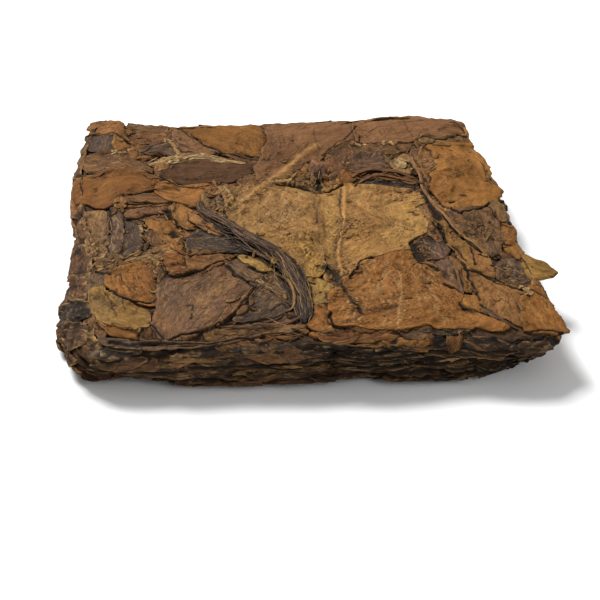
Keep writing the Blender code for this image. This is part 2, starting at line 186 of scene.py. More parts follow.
def new_group(name, inputs, outputs):
    """An empty shader group with named sockets; returns it, its input node and output node."""
    group = bpy.data.node_groups.new(name, "ShaderNodeTree")
    for socket, kind in inputs:
        group.interface.new_socket(name=socket, in_out="INPUT", socket_type=kind)
    for socket, kind in outputs:
        group.interface.new_socket(name=socket, in_out="OUTPUT", socket_type=kind)
    return group, group.nodes.new("NodeGroupInput"), group.nodes.new("NodeGroupOutput")


def add_node(tree, kind, links=(), **settings):
    """A node with its settings; links pairs each input with a socket or a plain value."""
    node = tree.nodes.new(kind)
    for key, value in settings.items():
        setattr(node, key, value)
    for socket, source in dict(links).items():
        if isinstance(source, bpy.types.NodeSocket):
            tree.links.new(source, node.inputs[socket])
        else:
            node.inputs[socket].default_value = source
    return node


def math_node(tree, operation, first, second=0.0, clamp=False):
    """The result socket of a Math node."""
    node = add_node(tree, "ShaderNodeMath", {0: first, 1: second}, operation=operation)
    node.use_clamp = clamp
    return node.outputs[0]


def mix_colour(tree, factor, first, second, blend="MIX"):
    """The result socket of a Mix node for colours."""
    node = add_node(tree, "ShaderNodeMix", data_type="RGBA", blend_type=blend)
    for socket, source in ((0, factor), (6, first), (7, second)):
        if isinstance(source, bpy.types.NodeSocket):
            tree.links.new(source, node.inputs[socket])
        else:
            node.inputs[socket].default_value = source
    return node.outputs[2]


FLOAT, COLOUR, VECTOR = "NodeSocketFloat", "NodeSocketColor", "NodeSocketVector"

# Dry mottle: blotches and specks of darker and paler cell, and the fine net of small veins
mottle, start, end = new_group(
    "dry mottle",
    (("Color", COLOUR), ("Vector", VECTOR), ("Blotch", FLOAT), ("Speck", FLOAT), ("Net", FLOAT)),
    (("Color", COLOUR), ("Height", FLOAT)))
blotch = add_node(mottle, "ShaderNodeTexNoise", {
    "Vector": start.outputs["Vector"], "Scale": 480.0, "Detail": 7.0, "Roughness": 0.62,
    "Distortion": 1.1})
speck = add_node(mottle, "ShaderNodeTexNoise", {
    "Vector": start.outputs["Vector"], "Scale": 1500.0, "Detail": 3.0, "Roughness": 0.7})
bent = add_node(mottle, "ShaderNodeVectorMath", {
    0: add_node(mottle, "ShaderNodeTexNoise", {
        "Vector": start.outputs["Vector"], "Scale": 700.0}).outputs["Color"],
    1: (0.0011, 0.0011, 0.0011), 2: start.outputs["Vector"]}, operation="MULTIPLY_ADD")
cells = add_node(mottle, "ShaderNodeTexVoronoi", {"Vector": bent.outputs[0], "Scale": 750.0},
                 feature="DISTANCE_TO_EDGE")
vein = math_node(mottle, "SUBTRACT", 1.0, math_node(mottle, "MULTIPLY", cells.outputs["Distance"],
                                                    9.0, True), True)
shade = math_node(mottle, "MULTIPLY_ADD", math_node(mottle, "SUBTRACT", blotch.outputs[0], 0.5),
                  start.outputs["Blotch"])
shade.node.inputs[2].default_value = 1.0
fleck = math_node(mottle, "MULTIPLY_ADD", math_node(mottle, "SUBTRACT", speck.outputs[0], 0.5),
                  start.outputs["Speck"])
fleck.node.inputs[2].default_value = 1.0
netted = math_node(mottle, "SUBTRACT", 1.0, math_node(mottle, "MULTIPLY", vein,
                                                      start.outputs["Net"]))
tone = math_node(mottle, "MULTIPLY", math_node(mottle, "MULTIPLY", shade, fleck), netted)
scaled = add_node(mottle, "ShaderNodeVectorMath", {0: start.outputs["Color"], 3: tone},
                  operation="SCALE")
mottle.links.new(scaled.outputs[0], end.inputs["Color"])
height = math_node(mottle, "ADD", math_node(mottle, "MULTIPLY", blotch.outputs[0], 0.5),
                   math_node(mottle, "MULTIPLY", speck.outputs[0], 0.25))
mottle.links.new(math_node(mottle, "SUBTRACT", height, math_node(mottle, "MULTIPLY", vein, 0.25)),
                 end.inputs["Height"])

# Painted hollow shade: cracks and places under leaf edges darken as painted shade; crests pale and folds
# darken as painted light and shade
painted_hollow_shade, start, end = new_group(
    "painted hollow shade",
    (("Color", COLOUR), ("Hollow", FLOAT), ("Crest", FLOAT), ("Depth", FLOAT), ("Crest shading", FLOAT)),
    (("Color", COLOUR), ("Mask", FLOAT)))
mask = math_node(painted_hollow_shade, "MULTIPLY", start.outputs["Hollow"], start.outputs["Depth"], True)
crest = math_node(painted_hollow_shade, "MULTIPLY_ADD",
                  math_node(painted_hollow_shade, "SUBTRACT", start.outputs["Crest"], 0.5),
                  start.outputs["Crest shading"])
crest.node.inputs[2].default_value = 1.0
# Painted light and shade: the colour is scaled paler on crests and darker in folds
crest_shading = add_node(painted_hollow_shade, "ShaderNodeVectorMath", {0: start.outputs["Color"], 3: crest},
                  operation="SCALE")
# Painted shade: near black mixed in by the hollow mask
dark = mix_colour(painted_hollow_shade, mask, crest_shading.outputs[0], (0.012, 0.008, 0.005, 1.0))
painted_hollow_shade.links.new(dark, end.inputs["Color"])
painted_hollow_shade.links.new(mask, end.inputs["Mask"])


def place_group(tree, group, links):
    """A shader group placed in a material, with its inputs linked or set."""
    node = add_node(tree, "ShaderNodeGroup", node_tree=group)
    for socket, source in links.items():
        if isinstance(source, bpy.types.NodeSocket):
            tree.links.new(source, node.inputs[socket])
        else:
            node.inputs[socket].default_value = source
    return node


# Colours of dry leaf as they look in daylight, 0 to 255, from the youngest gold to the oldest slate
LEAF_COLOURS = {
    "cream": (186, 160, 122),
    "gold": (160, 123, 70), "straw": (148, 117, 78), "olive": (136, 106, 60), "ochre": (151, 107, 61),
    "orange": (147, 101, 55), "rust": (131, 88, 50), "tan": (136, 97, 60), "beige": (130, 101, 70),
    "brown": (122, 85, 54), "russet": (110, 71, 43), "mauve": (132, 96, 71), "plum": (112, 82, 64),
    "taupe": (112, 82, 57), "umber": (92, 64, 45), "dark": (82, 58, 43), "slate": (74, 57, 44),
    "soot": (46, 36, 29),
}
GAIN = 0.735, 0.67, 0.515  # share of the daylight look that is the leaf's own colour


def dye(colour):
    """A leaf's own colour in linear light, from its name or from its look in daylight."""
    share = np.array(LEAF_COLOURS.get(colour, colour)) / 255.0
    return GAIN * np.where(share > 0.04, ((share + 0.055) / 1.055) ** 2.4, share / 12.92)


def bed_finish():
    """Pressed dust and broken leaf: near black brown, with paler crumbs, quite matt."""
    material = bpy.data.materials.new("pressed dust")
    material.use_nodes = True
    tree = material.node_tree
    shader = tree.nodes["Principled BSDF"]
    where = tree.nodes.new("ShaderNodeTexCoord").outputs["Object"]
    crumbs = add_node(tree, "ShaderNodeTexVoronoi", {"Vector": where, "Scale": 900.0})
    ramp = add_node(tree, "ShaderNodeValToRGB", {"Fac": crumbs.outputs["Color"]})
    ramp.color_ramp.elements[0].color = (*dye((38, 28, 22)), 1.0)
    ramp.color_ramp.elements[1].color = (*dye((88, 64, 44)), 1.0)
    spots = place_group(tree, mottle, {
        "Color": ramp.outputs["Color"], "Vector": where, "Blotch": 1.4, "Speck": 0.8, "Net": 0.0})
    tree.links.new(spots.outputs["Color"], shader.inputs["Base Color"])
    relief = add_node(tree, "ShaderNodeBump", {
        "Strength": 0.9, "Distance": 0.0004, "Height": spots.outputs["Height"]})
    tree.links.new(relief.outputs["Normal"], shader.inputs["Normal"])
    shader.inputs["Roughness"].default_value = 0.9
    shader.inputs["Specular IOR Level"].default_value = 0.2
    return material


def write_mesh(name, points, faces, finish):
    """A piece from points in millimetres, riding on the slab's body in place of its CAD node."""
    mesh = bpy.data.meshes.new(name)
    mesh.from_pydata(((points + MIDDLE) * MM).tolist(), [], faces)
    mesh.shade_smooth()
    mesh.materials.append(finish)
    piece = bpy.data.objects.new(name, mesh)
    bpy.context.scene.collection.objects.link(piece)
    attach(piece, "root")
    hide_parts("tea_cake")
    return piece


def band_faces(rows, columns, start=0):
    """Faces between rings of points, each ring closed on itself."""
    i, j = np.mgrid[:rows - 1, :columns]
    after = (j + 1) % columns
    faces = np.stack([i * columns + j, i * columns + after,
                      (i + 1) * columns + after, (i + 1) * columns + j], axis=-1)
    return (faces.reshape(-1, 4) + start).tolist()


def bed_points(columns):
    """Rings from the middle of the underside out to the foot, up the sides and in over the top:
    shares of the foot ring, then wall heights, then shares of the top ring."""
    along = np.linspace(0.0, 4.0 * SIDE, columns, endpoint=False)
    foot = wall(along, 0.0 * along, -0.8 + 0.0 * along)
    rings = [foot * (share, share, 0.0) + (0.0, 0.0, 0.3) for share in (0.25, 0.5, 0.75, 0.92)]
    for height in np.arange(0.35, THICKNESS - 1.4, 0.55):
        proud = -1.1 + 0.5 * rough(along, height * 2.0 + 0.0 * along, 2.4, 3, 2)
        rings.append(wall(along, height + 0.0 * along, proud))
    top = wall(along, THICKNESS - 1.2 + 0.0 * along, -1.5 + 0.0 * along)
    for share in np.linspace(1.0, 0.01, 62):
        x, y = top[:, 0] * share, top[:, 1] * share
        height = press_height(x, y) - BED_SINK + 0.45 * rough(x, y, 2.6, 3, 4)
        rings.append(np.stack([x, y, height], axis=-1))
    return np.array(rings)


BED_COLUMNS = 430
rings = bed_points(BED_COLUMNS)
bed_faces = band_faces(len(rings), BED_COLUMNS)
bed_faces.append(list(range(BED_COLUMNS - 1, -1, -1)))
bed_faces.append(list(range((len(rings) - 1) * BED_COLUMNS, len(rings) * BED_COLUMNS)))
write_mesh("bed_of_broken_leaf", rings.reshape(-1, 3), bed_faces, bed_finish())

# ------------------------------------------------------------------ the underside
# The underside is pressed flat by its board: leaves of all sizes lie level in it, edges hardly
# raised. Each leaf is a thin sheet laid over the ones before it, here and on the other sides.
CELL = 0.4               # spacing of the height maps that the leaves are laid on


class Ground:
    """One side of the slab as a map of heights over (a, b). Each leaf laid on it raises it."""

    def __init__(self, start, end, level, press, place, around=False):
        self.start, self.around = np.array(start, float), around
        a = np.arange(start[0], end[0], CELL)
        b = np.arange(start[1], end[1], CELL)
        self.heights = level(*np.meshgrid(a, b, indexing="ij"))
        self.press, self.place = press, place

    def index(self, a, b):
        """Cell indices of points, wrapped round the slab or held at the map's edge."""
        i = (a - self.start[0]) / CELL
        j = np.clip((b - self.start[1]) / CELL, 0.0, self.heights.shape[1] - 1.001)
        if self.around:
            return np.mod(i, self.heights.shape[0]), j
        return np.clip(i, 0.0, self.heights.shape[0] - 1.001), j

    def read(self, field, a, b):
        """A field between its cells: the four nearest values, weighted by nearness."""
        i, j = self.index(a, b)
        low_i, low_j = i.astype(int), j.astype(int)
        i, j = i - low_i, j - low_j
        next_i = (low_i + 1) % field.shape[0]
        return ((field[low_i, low_j] * (1 - i) + field[next_i, low_j] * i) * (1 - j)
                + (field[low_i, low_j + 1] * (1 - i) + field[next_i, low_j + 1] * i) * j)

    def blurred(self, field, reach):
        """A field averaged under a bell curve of the given reach, along a and then along b."""
        cells = int(3.0 * reach / CELL) + 1
        weights = np.exp(-0.5 * (np.arange(-cells, cells + 1) * CELL / reach) ** 2)
        weights /= weights.sum()
        for axis in (0, 1):
            pad = [(cells, cells) if k == axis else (0, 0) for k in (0, 1)]
            padded = np.pad(field, pad, mode="wrap" if self.around and axis == 0 else "edge")
            count = field.shape[axis]
            field = sum(weight * (padded[k:k + count] if axis == 0 else padded[:, k:k + count])
                        for k, weight in enumerate(weights))
        return field

    def raise_to(self, a, b, heights):
        """Lifts the cells under the given points to at least their heights."""
        i, j = (np.round(c).astype(int) for c in self.index(a, b))
        np.maximum.at(self.heights, (i % self.heights.shape[0], j), heights)


def smooth_line(points, count, bend=0.5):
    """Points evenly spaced on a curve of cubic pieces through the given points, which leaves each
    one in the direction from the point before it to the point after it, more round the more
    it bends."""
    p = np.vstack([2.0 * points[0] - points[1], points, 2.0 * points[-1] - points[-2]])
    t = np.linspace(0.0, 1.0, 16, endpoint=False)[:, None]
    curve = [b + (3 * t ** 2 - 2 * t ** 3) * (c - b) + bend * ((t - 2 * t ** 2 + t ** 3) * (c - a)
             + (t ** 3 - t ** 2) * (d - b)) for a, b, c, d in zip(p, p[1:], p[2:], p[3:])]
    curve = np.vstack(curve + [points[-1:]])
    run = np.concatenate([[0.0], np.cumsum(np.hypot(*np.diff(curve[:, :2], axis=0).T))])
    even = np.linspace(0.0, run[-1], count)
    return np.stack([np.interp(even, run, column) for column in curve.T], axis=1)


def beside(x, y, path):
    """Distance of points from a broken line, and how far along it their nearest point lies."""
    off, run, start = 1e9 + 0.0 * x, 0.0 * x, 0.0
    for (x0, y0), (x1, y1) in zip(path[:, :2], path[1:, :2]):
        length = math.hypot(x1 - x0, y1 - y0)
        share = np.clip(((x - x0) * (x1 - x0) + (y - y0) * (y1 - y0)) / length ** 2, 0.0, 1.0)
        away = np.hypot(x - x0 - share * (x1 - x0), y - y0 - share * (y1 - y0))
        run = np.where(away < off, start + share * length, run)
        off, start = np.minimum(off, away), start + length
    return off, run


def edge_length(points):
    """Length of a line of points."""
    return np.hypot(*np.diff(points[:, :2], axis=0).T).sum()


def lay_leaf(ground, left, right, tint, seed, crumple=0.25, curl=0.3, sheet=0.24, step=0.3,
             torn=0.55, grow=0.0, grain=1.0, lip=0.0, rib=None, veins=None, drape=1.0, second=None,
             pale_rim=0.15, bend=0.2):
    """A leaf laid on a ground, on a grid between its left and right edge from base to tip.
    Its height is the smoothed ground, plus the sheet, plus thin creases and folds that run
    along the leaf, plus ridges for the rib and the side veins, plus a curl where the rim is
    near, pressed back towards the press; the ground is then raised to it."""
    rows = max(6, int(max(edge_length(left), edge_length(right)) / step) + 1)
    left, right = (smooth_line(edge, rows + 2, bend)[1:-1] for edge in (left, right))
    across, ahead = right - left, np.gradient(0.5 * (left + right), axis=0)
    if np.sum(across[:, 0] * ahead[:, 1] - across[:, 1] * ahead[:, 0]) < 0.0:
        left, right, across = right, left, -across
    width = np.hypot(*across.T)[:, None]
    unit = across / np.maximum(width, 1e-6)
    s = np.concatenate([[0.0], np.cumsum(np.hypot(*np.diff(0.5 * (left + right), axis=0).T))])
    bite = torn * np.minimum(1.0, width[:, 0] / 6.0)
    jag = [rough(s, spot + 0.0 * s, 3.4, 4, seed) - 0.9 * creases(s, spot + 0.0 * s, 2.2, seed) + 0.5
           for spot in (0.0, 9.0)]
    left = left + unit * (bite * jag[0] - grow)[:, None]
    right = right - unit * (bite * jag[1] - grow)[:, None]
    width = width + 2.0 * grow
    columns = max(5, int(width.max() / step) + 1)
    u = np.linspace(0.0, 1.0, columns)[None]
    a = left[:, :1] * (1.0 - u) + right[:, :1] * u
    b = left[:, 1:2] * (1.0 - u) + right[:, 1:2] * u
    t, s = (u - 0.5) * width, s[:, None] + 0.0 * u

    warp = 1.0 * ripple(t, s, 6.0 * grain, seed + 1)
    ridge = np.exp(-np.abs(ripple(t + warp, 0.35 * s, 4.6 * grain, seed)) / 0.15)
    split = np.exp(-np.abs(ripple(t - warp, 0.3 * s, 4.0 * grain, seed + 3)) / 0.11)
    fold = creases(t + warp, 0.5 * s, 4.4 * grain, seed + 5) - 0.6
    wave = rough(t, s, 9.0 * grain, 2, seed + 7)
    relief = crumple * (0.35 * ridge - 0.4 * split + 0.9 * wave) + 4.5 * crumple ** 2 * fold
    # Crest is painted light and shade from the relief: paler on ridges, rib and veins, darker in splits and
    # folds
    crest = 0.5 + 0.25 * ridge - 0.4 * split + 1.6 * crumple * fold
    if rib is not None:
        off, run = beside(a, b, rib)
        middle = np.exp(-(off / 0.5) ** 2)
        relief, crest = relief + 0.3 * middle, crest + 0.3 * middle
        if veins:
            pitch, lean, rise = veins
            phase = (run - lean * off + 0.7 * ripple(a, b, 5.0, seed + 2)) / pitch
            line = np.exp(-(np.abs(phase - np.round(phase)) * pitch / 0.26) ** 2) * ease(off / 2.0)
            relief, crest = relief + rise * line, crest + 0.3 * line
    margin = np.minimum(np.minimum(u, 1.0 - u) * width, np.minimum(s, s[-1] - s) + 0.06)
    loose = np.clip(0.1 + 1.6 * ripple(a, b, 5.0, seed + 4), 0.0, 1.4)
    base = ground.read(np.maximum(ground.heights, ground.blurred(ground.heights, drape)), a, b)
    height = base + sheet * (0.55 + 0.45 * ease(margin / 0.8)) + relief * ease(0.35 + margin)
    height = height + curl * loose * np.exp(-(margin / 0.9) ** 2) + lip * u ** 2
    height = np.maximum(height, base + min(0.12, 0.5 * sheet))
    press = ground.press(a, b)
    height = np.where(height > press, press + 0.35 * (height - press), height)
    ground.raise_to(a, b, height)

    second = second if second is not None else tint * (0.62, 0.56, 0.5)
    patch = ease(0.5 + 0.9 * rough(t, 0.6 * s, 7.5, 4, seed + 6))[..., None]
    colour = tint * (1.08 - 0.5 * patch) + second * 0.48 * patch
    tone = 1.0 + 0.15 * ripple(a, b, 13.0, seed + 11) + 0.12 * rough(2.2 * t, 0.3 * s, 1.8, 3, seed + 8)
    # Painted shade: a thin dark band along the rim, in patches, for the shadow line at leaf edges
    edge_shade = np.exp(-(margin / 0.5) ** 2) * ease(1.5 * ripple(a, b, 5.0, seed + 12))
    colour = colour * (tone * (1.0 - 0.12 * np.exp(-(margin / 1.6) ** 2)) * (1.0 - 0.5 * edge_shade))[..., None]
    rim = np.exp(-(margin / 0.3) ** 2) * ease(0.35 + 1.3 * ripple(a, b, 4.0, seed + 9)) * pale_rim
    offset = np.array([3.1 * seed, 7.7 * seed]) % 50.0
    return {"a": a, "b": b, "height": height, "colour": colour, "rim": rim,
            "crest": np.clip(crest, 0.0, 1.0), "hollow": 0.0 * a,
            "map": np.stack([t / 10.0 + offset[0], s / 10.0 + offset[1]], axis=-1)}


def leaf_shell(leaf):
    """The closed sheet of a leaf: its upper grid, a coarse underside of five columns, thin at the
    rim and low enough inside to stay hidden, and flat walls and end caps between the two."""
    rows, columns = leaf["a"].shape
    picks = np.array([0, min(2, columns // 2 - 1), columns // 2, max(columns - 3, columns // 2 + 1),
                      columns - 1])
    low = leaf["height"].min(axis=1)
    low = np.minimum(np.minimum(np.roll(low, 1), np.roll(low, -1)), low)[:, None] - 0.2
    under = np.repeat(low, 5, axis=1)
    under[:, [0, 4]] = leaf["height"][:, [0, -1]] - 0.2
    under[[0, -1]] = leaf["height"][[0, -1]][:, picks] - 0.2
    grid = np.arange(rows * columns).reshape(rows, columns)
    base = rows * columns + np.arange(rows * 5).reshape(rows, 5)

    def quads(p):
        return np.stack([p[:-1, :-1], p[:-1, 1:], p[1:, 1:], p[1:, :-1]], axis=-1).reshape(-1, 4)

    left = np.stack([grid[:-1, 0], grid[1:, 0], base[1:, 0], base[:-1, 0]], axis=-1)
    right = np.stack([grid[1:, -1], grid[:-1, -1], base[:-1, 4], base[1:, 4]], axis=-1)
    faces = np.concatenate([quads(grid), quads(base)[:, ::-1], left, right]).tolist()
    faces.append(base[0].tolist() + grid[0, ::-1].tolist())
    faces.append(grid[-1].tolist() + base[-1, ::-1].tolist())
    flat = 2 * len(left) + 2
    shell = {"faces": faces, "sharp": np.arange(len(faces)) >= len(faces) - flat,
             "height": np.concatenate([leaf["height"].ravel(), under.ravel()])}
    for key in ("a", "b", "rim", "crest", "hollow"):
        shell[key] = np.concatenate([leaf[key].ravel(), leaf[key][:, picks].ravel()])
    for key in ("colour", "map"):
        size = leaf[key].shape[-1]
        shell[key] = np.concatenate([leaf[key].reshape(-1, size),
                                     leaf[key][:, picks].reshape(-1, size)])
    return shell


def write_leaves(name, ground, leaves, finish, shell=leaf_shell):
    """One piece from many leaves, with their colour, rim, crest, hollow and leaf map. The hollow
    mask is painted shade: a place is darkened where the finished ground around it, blurred,
    stands above it, here more, there less."""
    around = ground.blurred(ground.heights, 0.5)
    parts, faces, count = [], [], 0
    for leaf in leaves:
        # Painted shade: the hollow mask darkens places lower than the blurred ground around them
        sunk = ground.read(around, leaf["a"], leaf["b"]) - leaf["height"]
        sunk = sunk * (0.9 + 0.8 * ripple(leaf["a"], leaf["b"], 9.0, 17)) / 0.2 - 0.12
        leaf["hollow"] = np.clip(leaf["hollow"] + np.clip(sunk, 0.0, 0.95), 0.0, 1.0)
        part = shell(leaf)
        faces += [[index + count for index in face] for face in part["faces"]]
        count += len(part["a"])
        parts.append(part)
    whole = {key: np.concatenate([part[key] for part in parts]) for key in parts[0]
             if key != "faces"}
    piece = write_mesh(name, ground.place(whole["a"], whole["b"], whole["height"]), faces, finish)
    mesh = piece.data
    tint = mesh.attributes.new("leaf_tint", "FLOAT_COLOR", "POINT")
    mesh.attributes.new("sharp_face", "BOOLEAN", "FACE").data.foreach_set("value", whole["sharp"])
    opaque = np.concatenate([np.clip(whole["colour"], 0.0, 1.0), np.ones((count, 1))], axis=1)
    tint.data.foreach_set("color", opaque.astype(np.float32).ravel())
    for key in ("rim", "crest", "hollow"):
        layer = mesh.attributes.new(key, "FLOAT", "POINT")
        layer.data.foreach_set("value", whole[key].astype(np.float32))
    corner = np.empty(len(mesh.loops), np.int32)
    mesh.loops.foreach_get("vertex_index", corner)
    mesh.uv_layers.new(name="leaf_map").data.foreach_set(
        "uv", whole["map"][corner].astype(np.float32).ravel())
    return piece


# Leaf fibres: fine streaks that run along the leaf, in its own map, pale scratches, and fine splits
# where the dry leaf has cracked between its fibres: the borders of long cells, here and there, sunk
# in the bump and painted near black as the shade inside them
fibres, start, end = new_group(
    "leaf fibres",
    (("Color", COLOUR), ("Vector", VECTOR), ("Streak", FLOAT), ("Scratch", FLOAT), ("Split", FLOAT),
     ("Tissue", COLOUR)),
    (("Color", COLOUR), ("Height", FLOAT)))
stretch = add_node(fibres, "ShaderNodeMapping", {
    "Vector": start.outputs["Vector"], "Scale": (15.0, 2.0, 1.0)})
streak = add_node(fibres, "ShaderNodeTexNoise", {
    "Vector": stretch.outputs[0], "Scale": 1.0, "Detail": 6.0, "Roughness": 0.7, "Distortion": 0.6})
scratch = [add_node(fibres, "ShaderNodeTexNoise", {
    "Vector": add_node(fibres, "ShaderNodeMapping", {
        "Vector": start.outputs["Vector"], "Scale": scale, "Rotation": (0.0, 0.0, turn)}).outputs[0],
    "Scale": 1.0, "Detail": 2.0, "Roughness": 0.5, "Distortion": 1.0}).outputs[0]
    for scale, turn in (((24.0, 2.6, 1.0), 0.25), ((20.0, 3.0, 1.0), -0.9))]
bend = add_node(fibres, "ShaderNodeVectorMath", {
    0: add_node(fibres, "ShaderNodeTexNoise", {
        "Vector": start.outputs["Vector"], "Scale": 7.0, "Detail": 4.0}).outputs["Color"],
    1: (0.22, 0.22, 0.0), 2: start.outputs["Vector"]}, operation="MULTIPLY_ADD")
long_cells = add_node(fibres, "ShaderNodeTexVoronoi", {
    "Vector": add_node(fibres, "ShaderNodeMapping", {
        "Vector": bend.outputs[0], "Scale": (3.4, 1.5, 1.0)}).outputs[0], "Scale": 1.0},
    feature="DISTANCE_TO_EDGE")
spread = add_node(fibres, "ShaderNodeTexNoise", {
    "Vector": start.outputs["Vector"], "Scale": 2.2, "Detail": 2.0})
line = math_node(fibres, "SUBTRACT", 1.0, math_node(fibres, "MULTIPLY", long_cells.outputs["Distance"],
                                                    24.0), True)
open_line = math_node(fibres, "MULTIPLY", line, math_node(
    fibres, "MULTIPLY", math_node(fibres, "SUBTRACT", spread.outputs[0], 0.47), 9.0, True))
open_line = math_node(fibres, "MULTIPLY", open_line, start.outputs["Split"])
lines = math_node(fibres, "MULTIPLY_ADD", math_node(fibres, "SUBTRACT", streak.outputs[0], 0.5), 1.9)
lines.node.inputs[2].default_value = 0.5
strength = math_node(fibres, "MULTIPLY_ADD", math_node(fibres, "SUBTRACT", lines, 0.5),
                     start.outputs["Streak"])
strength.node.inputs[2].default_value = 1.0
streaked = add_node(fibres, "ShaderNodeVectorMath", {0: start.outputs["Color"], 3: strength},
                    operation="SCALE")
pale = math_node(fibres, "MULTIPLY", math_node(fibres, "SUBTRACT", math_node(
    fibres, "MAXIMUM", *scratch), 0.6), 9.0, True)
scratched = mix_colour(fibres, math_node(fibres, "MULTIPLY", pale, start.outputs["Scratch"]),
                       streaked.outputs[0], start.outputs["Tissue"])
# Painted shade: the open splits are mixed to near black
fibres.links.new(mix_colour(fibres, open_line, scratched, (0.016, 0.01, 0.006, 1.0)),
                 end.inputs["Color"])
fibres.links.new(math_node(fibres, "SUBTRACT", math_node(
    fibres, "ADD", lines, math_node(fibres, "MULTIPLY", pale, 0.4)),
    math_node(fibres, "MULTIPLY", open_line, 1.6)), end.inputs["Height"])

# Torn rim: the pale inner tissue that shows where a dry leaf is torn
torn_rim, start, end = new_group(
    "torn rim", (("Color", COLOUR), ("Rim", FLOAT), ("Tissue", COLOUR)), (("Color", COLOUR),))
torn_rim.links.new(mix_colour(torn_rim, start.outputs["Rim"], start.outputs["Color"],
                              start.outputs["Tissue"]), end.inputs["Color"])


def leaf_finish(name, blotch, speck, streak, scratch, split, roughness, specular, bump, crest_shading,
                tissue):
    """Dry leaf: its own tint, mottled, streaked and split along its fibres, pale where torn, with
    painted shade in its hollows and painted light and shade on its crests and folds, and with the
    same patterns raised; duller in the hollows."""
    material = bpy.data.materials.new(name)
    material.use_nodes = True
    tree = material.node_tree
    shader = tree.nodes["Principled BSDF"]
    where = tree.nodes.new("ShaderNodeTexCoord")
    layers = {key: add_node(tree, "ShaderNodeAttribute", attribute_name=key)
              for key in ("leaf_tint", "rim", "crest", "hollow")}
    spots = place_group(tree, mottle, {
        "Color": layers["leaf_tint"].outputs["Color"], "Vector": where.outputs["Object"],
        "Blotch": blotch, "Speck": speck, "Net": 0.2})
    lines = place_group(tree, fibres, {
        "Color": spots.outputs["Color"], "Vector": where.outputs["UV"], "Streak": streak,
        "Scratch": scratch, "Split": split, "Tissue": tissue})
    edge = place_group(tree, torn_rim, {
        "Color": lines.outputs["Color"], "Rim": layers["rim"].outputs["Fac"], "Tissue": tissue})
    shaded = place_group(tree, painted_hollow_shade, {
        "Color": edge.outputs["Color"], "Hollow": layers["hollow"].outputs["Fac"],
        "Crest": layers["crest"].outputs["Fac"], "Depth": 0.9, "Crest shading": crest_shading})
    tree.links.new(shaded.outputs["Color"], shader.inputs["Base Color"])
    dull = math_node(tree, "MULTIPLY_ADD", shaded.outputs["Mask"], 0.9 - roughness)
    dull.node.inputs[2].default_value = roughness
    grain = math_node(tree, "MULTIPLY_ADD", spots.outputs["Height"], 0.2)
    tree.links.new(dull, grain.node.inputs[2])
    tree.links.new(math_node(tree, "SUBTRACT", grain, 0.1), shader.inputs["Roughness"])
    height = math_node(tree, "ADD", spots.outputs["Height"], lines.outputs["Height"])
    relief = add_node(tree, "ShaderNodeBump", {
        "Strength": bump, "Distance": 0.00011, "Height": height})
    tree.links.new(relief.outputs["Normal"], shader.inputs["Normal"])
    shader.inputs["Specular IOR Level"].default_value = specular
    return material


PALE = (*dye((188, 152, 104)), 1.0)
finishes = {
    "smooth": leaf_finish("smooth dry leaf", 0.4, 0.4, 0.4, 0.12, 0.3, 0.75, 0.06, 0.4, 0.5, PALE),
    "golden": leaf_finish("golden dry leaf", 0.4, 0.75, 0.85, 0.34, 0.6, 0.72, 0.08, 0.85, 0.6, PALE),
    "brown": leaf_finish("brown dry leaf", 0.5, 0.9, 1.05, 0.45, 0.8, 0.72, 0.08, 1.0, 0.75, PALE),
    "dark": leaf_finish("dark dry leaf", 0.6, 1.0, 1.3, 0.75, 0.7, 0.64, 0.14, 1.0, 0.9,
                        (*dye((150, 120, 86)), 1.0)),
}


def leaf_form(rng, centre, length, width, heading):
    """The two edges of a loose leaf: half the width times a power of a sine, on a bent rib."""
    v = np.linspace(0.0, 1.0, 7)
    bend = rng.uniform(-0.16, 0.16) * length * np.sin(math.pi * v)
    half = 0.5 * width * np.sin(math.pi * v ** rng.uniform(0.75, 1.3)) ** rng.uniform(0.4, 0.75)
    half = half * (1.0 + rng.uniform(-0.18, 0.1, 7))
    turn = np.array([[math.cos(heading), math.sin(heading)], [-math.sin(heading), math.cos(heading)]])
    edges = [np.stack([(v - 0.5) * length, bend + side * half], axis=1) @ turn for side in (1.0, -1.0)]
    return edges[0] + centre, edges[1] + centre


FLOOR_GAP = 0.9          # the underside's leaves lie between this height and the floor
under = Ground(
    (-62.0, -62.0), (62.0, 62.0), lambda a, b: 0.0 * a, lambda a, b: 0.45 + 0.0 * a,
    lambda a, b, height: np.stack([-a, b, np.maximum(FLOOR_GAP - height, 0.0)], axis=-1))
UNDER_TINTS = "taupe", "umber", "tan", "slate", "ochre", "brown"


def lay_underside(count, seed):
    """Leaves at random over the underside, large ones first, kept inside the rounded foot."""
    rng = np.random.default_rng(seed)
    laid = []
    for k in range(count):
        size = 1.0 - 0.6 * k / count
        centre = rng.uniform(-44.0, 44.0, 2)
        edges = leaf_form(rng, centre, size * rng.uniform(16.0, 34.0), size * rng.uniform(8.0, 15.0),
                          rng.uniform(0.0, 2.0 * math.pi))
        room = 48.0 - 0.05 * np.abs(edges[0] + edges[1]).min(axis=1)[:, None]
        edges = [np.clip(edge, -room, room) + rng.uniform(-0.3, 0.3, edge.shape) for edge in edges]
        laid.append(lay_leaf(under, *edges, dye(UNDER_TINTS[rng.integers(6)]), 300 + k, step=0.65,
                             crumple=0.12, curl=0.1, sheet=0.16))
    return laid


write_leaves("underside_leaves", under, lay_underside(95, 21), finishes["brown"])

# ------------------------------------------------------------------ the four sides
# At the sides the leaf layers show edge on: wavy bands and lips, folded over or frayed. The
# front side's bands are darker as painted shade, most towards its right end. The left side is
# paler, and its layers slope outwards.
SIDE_PRESS = 1.3         # how far the layers may stand out before they are pressed back
sides = Ground(
    (0.0, 0.0), (4.0 * SIDE, THICKNESS + 1.0),
    lambda a, b: -1.0 + 0.25 * rough(a, 2.0 * b, 3.0, 2, 8), lambda a, b: SIDE_PRESS + 0.0 * a,
    wall, around=True)
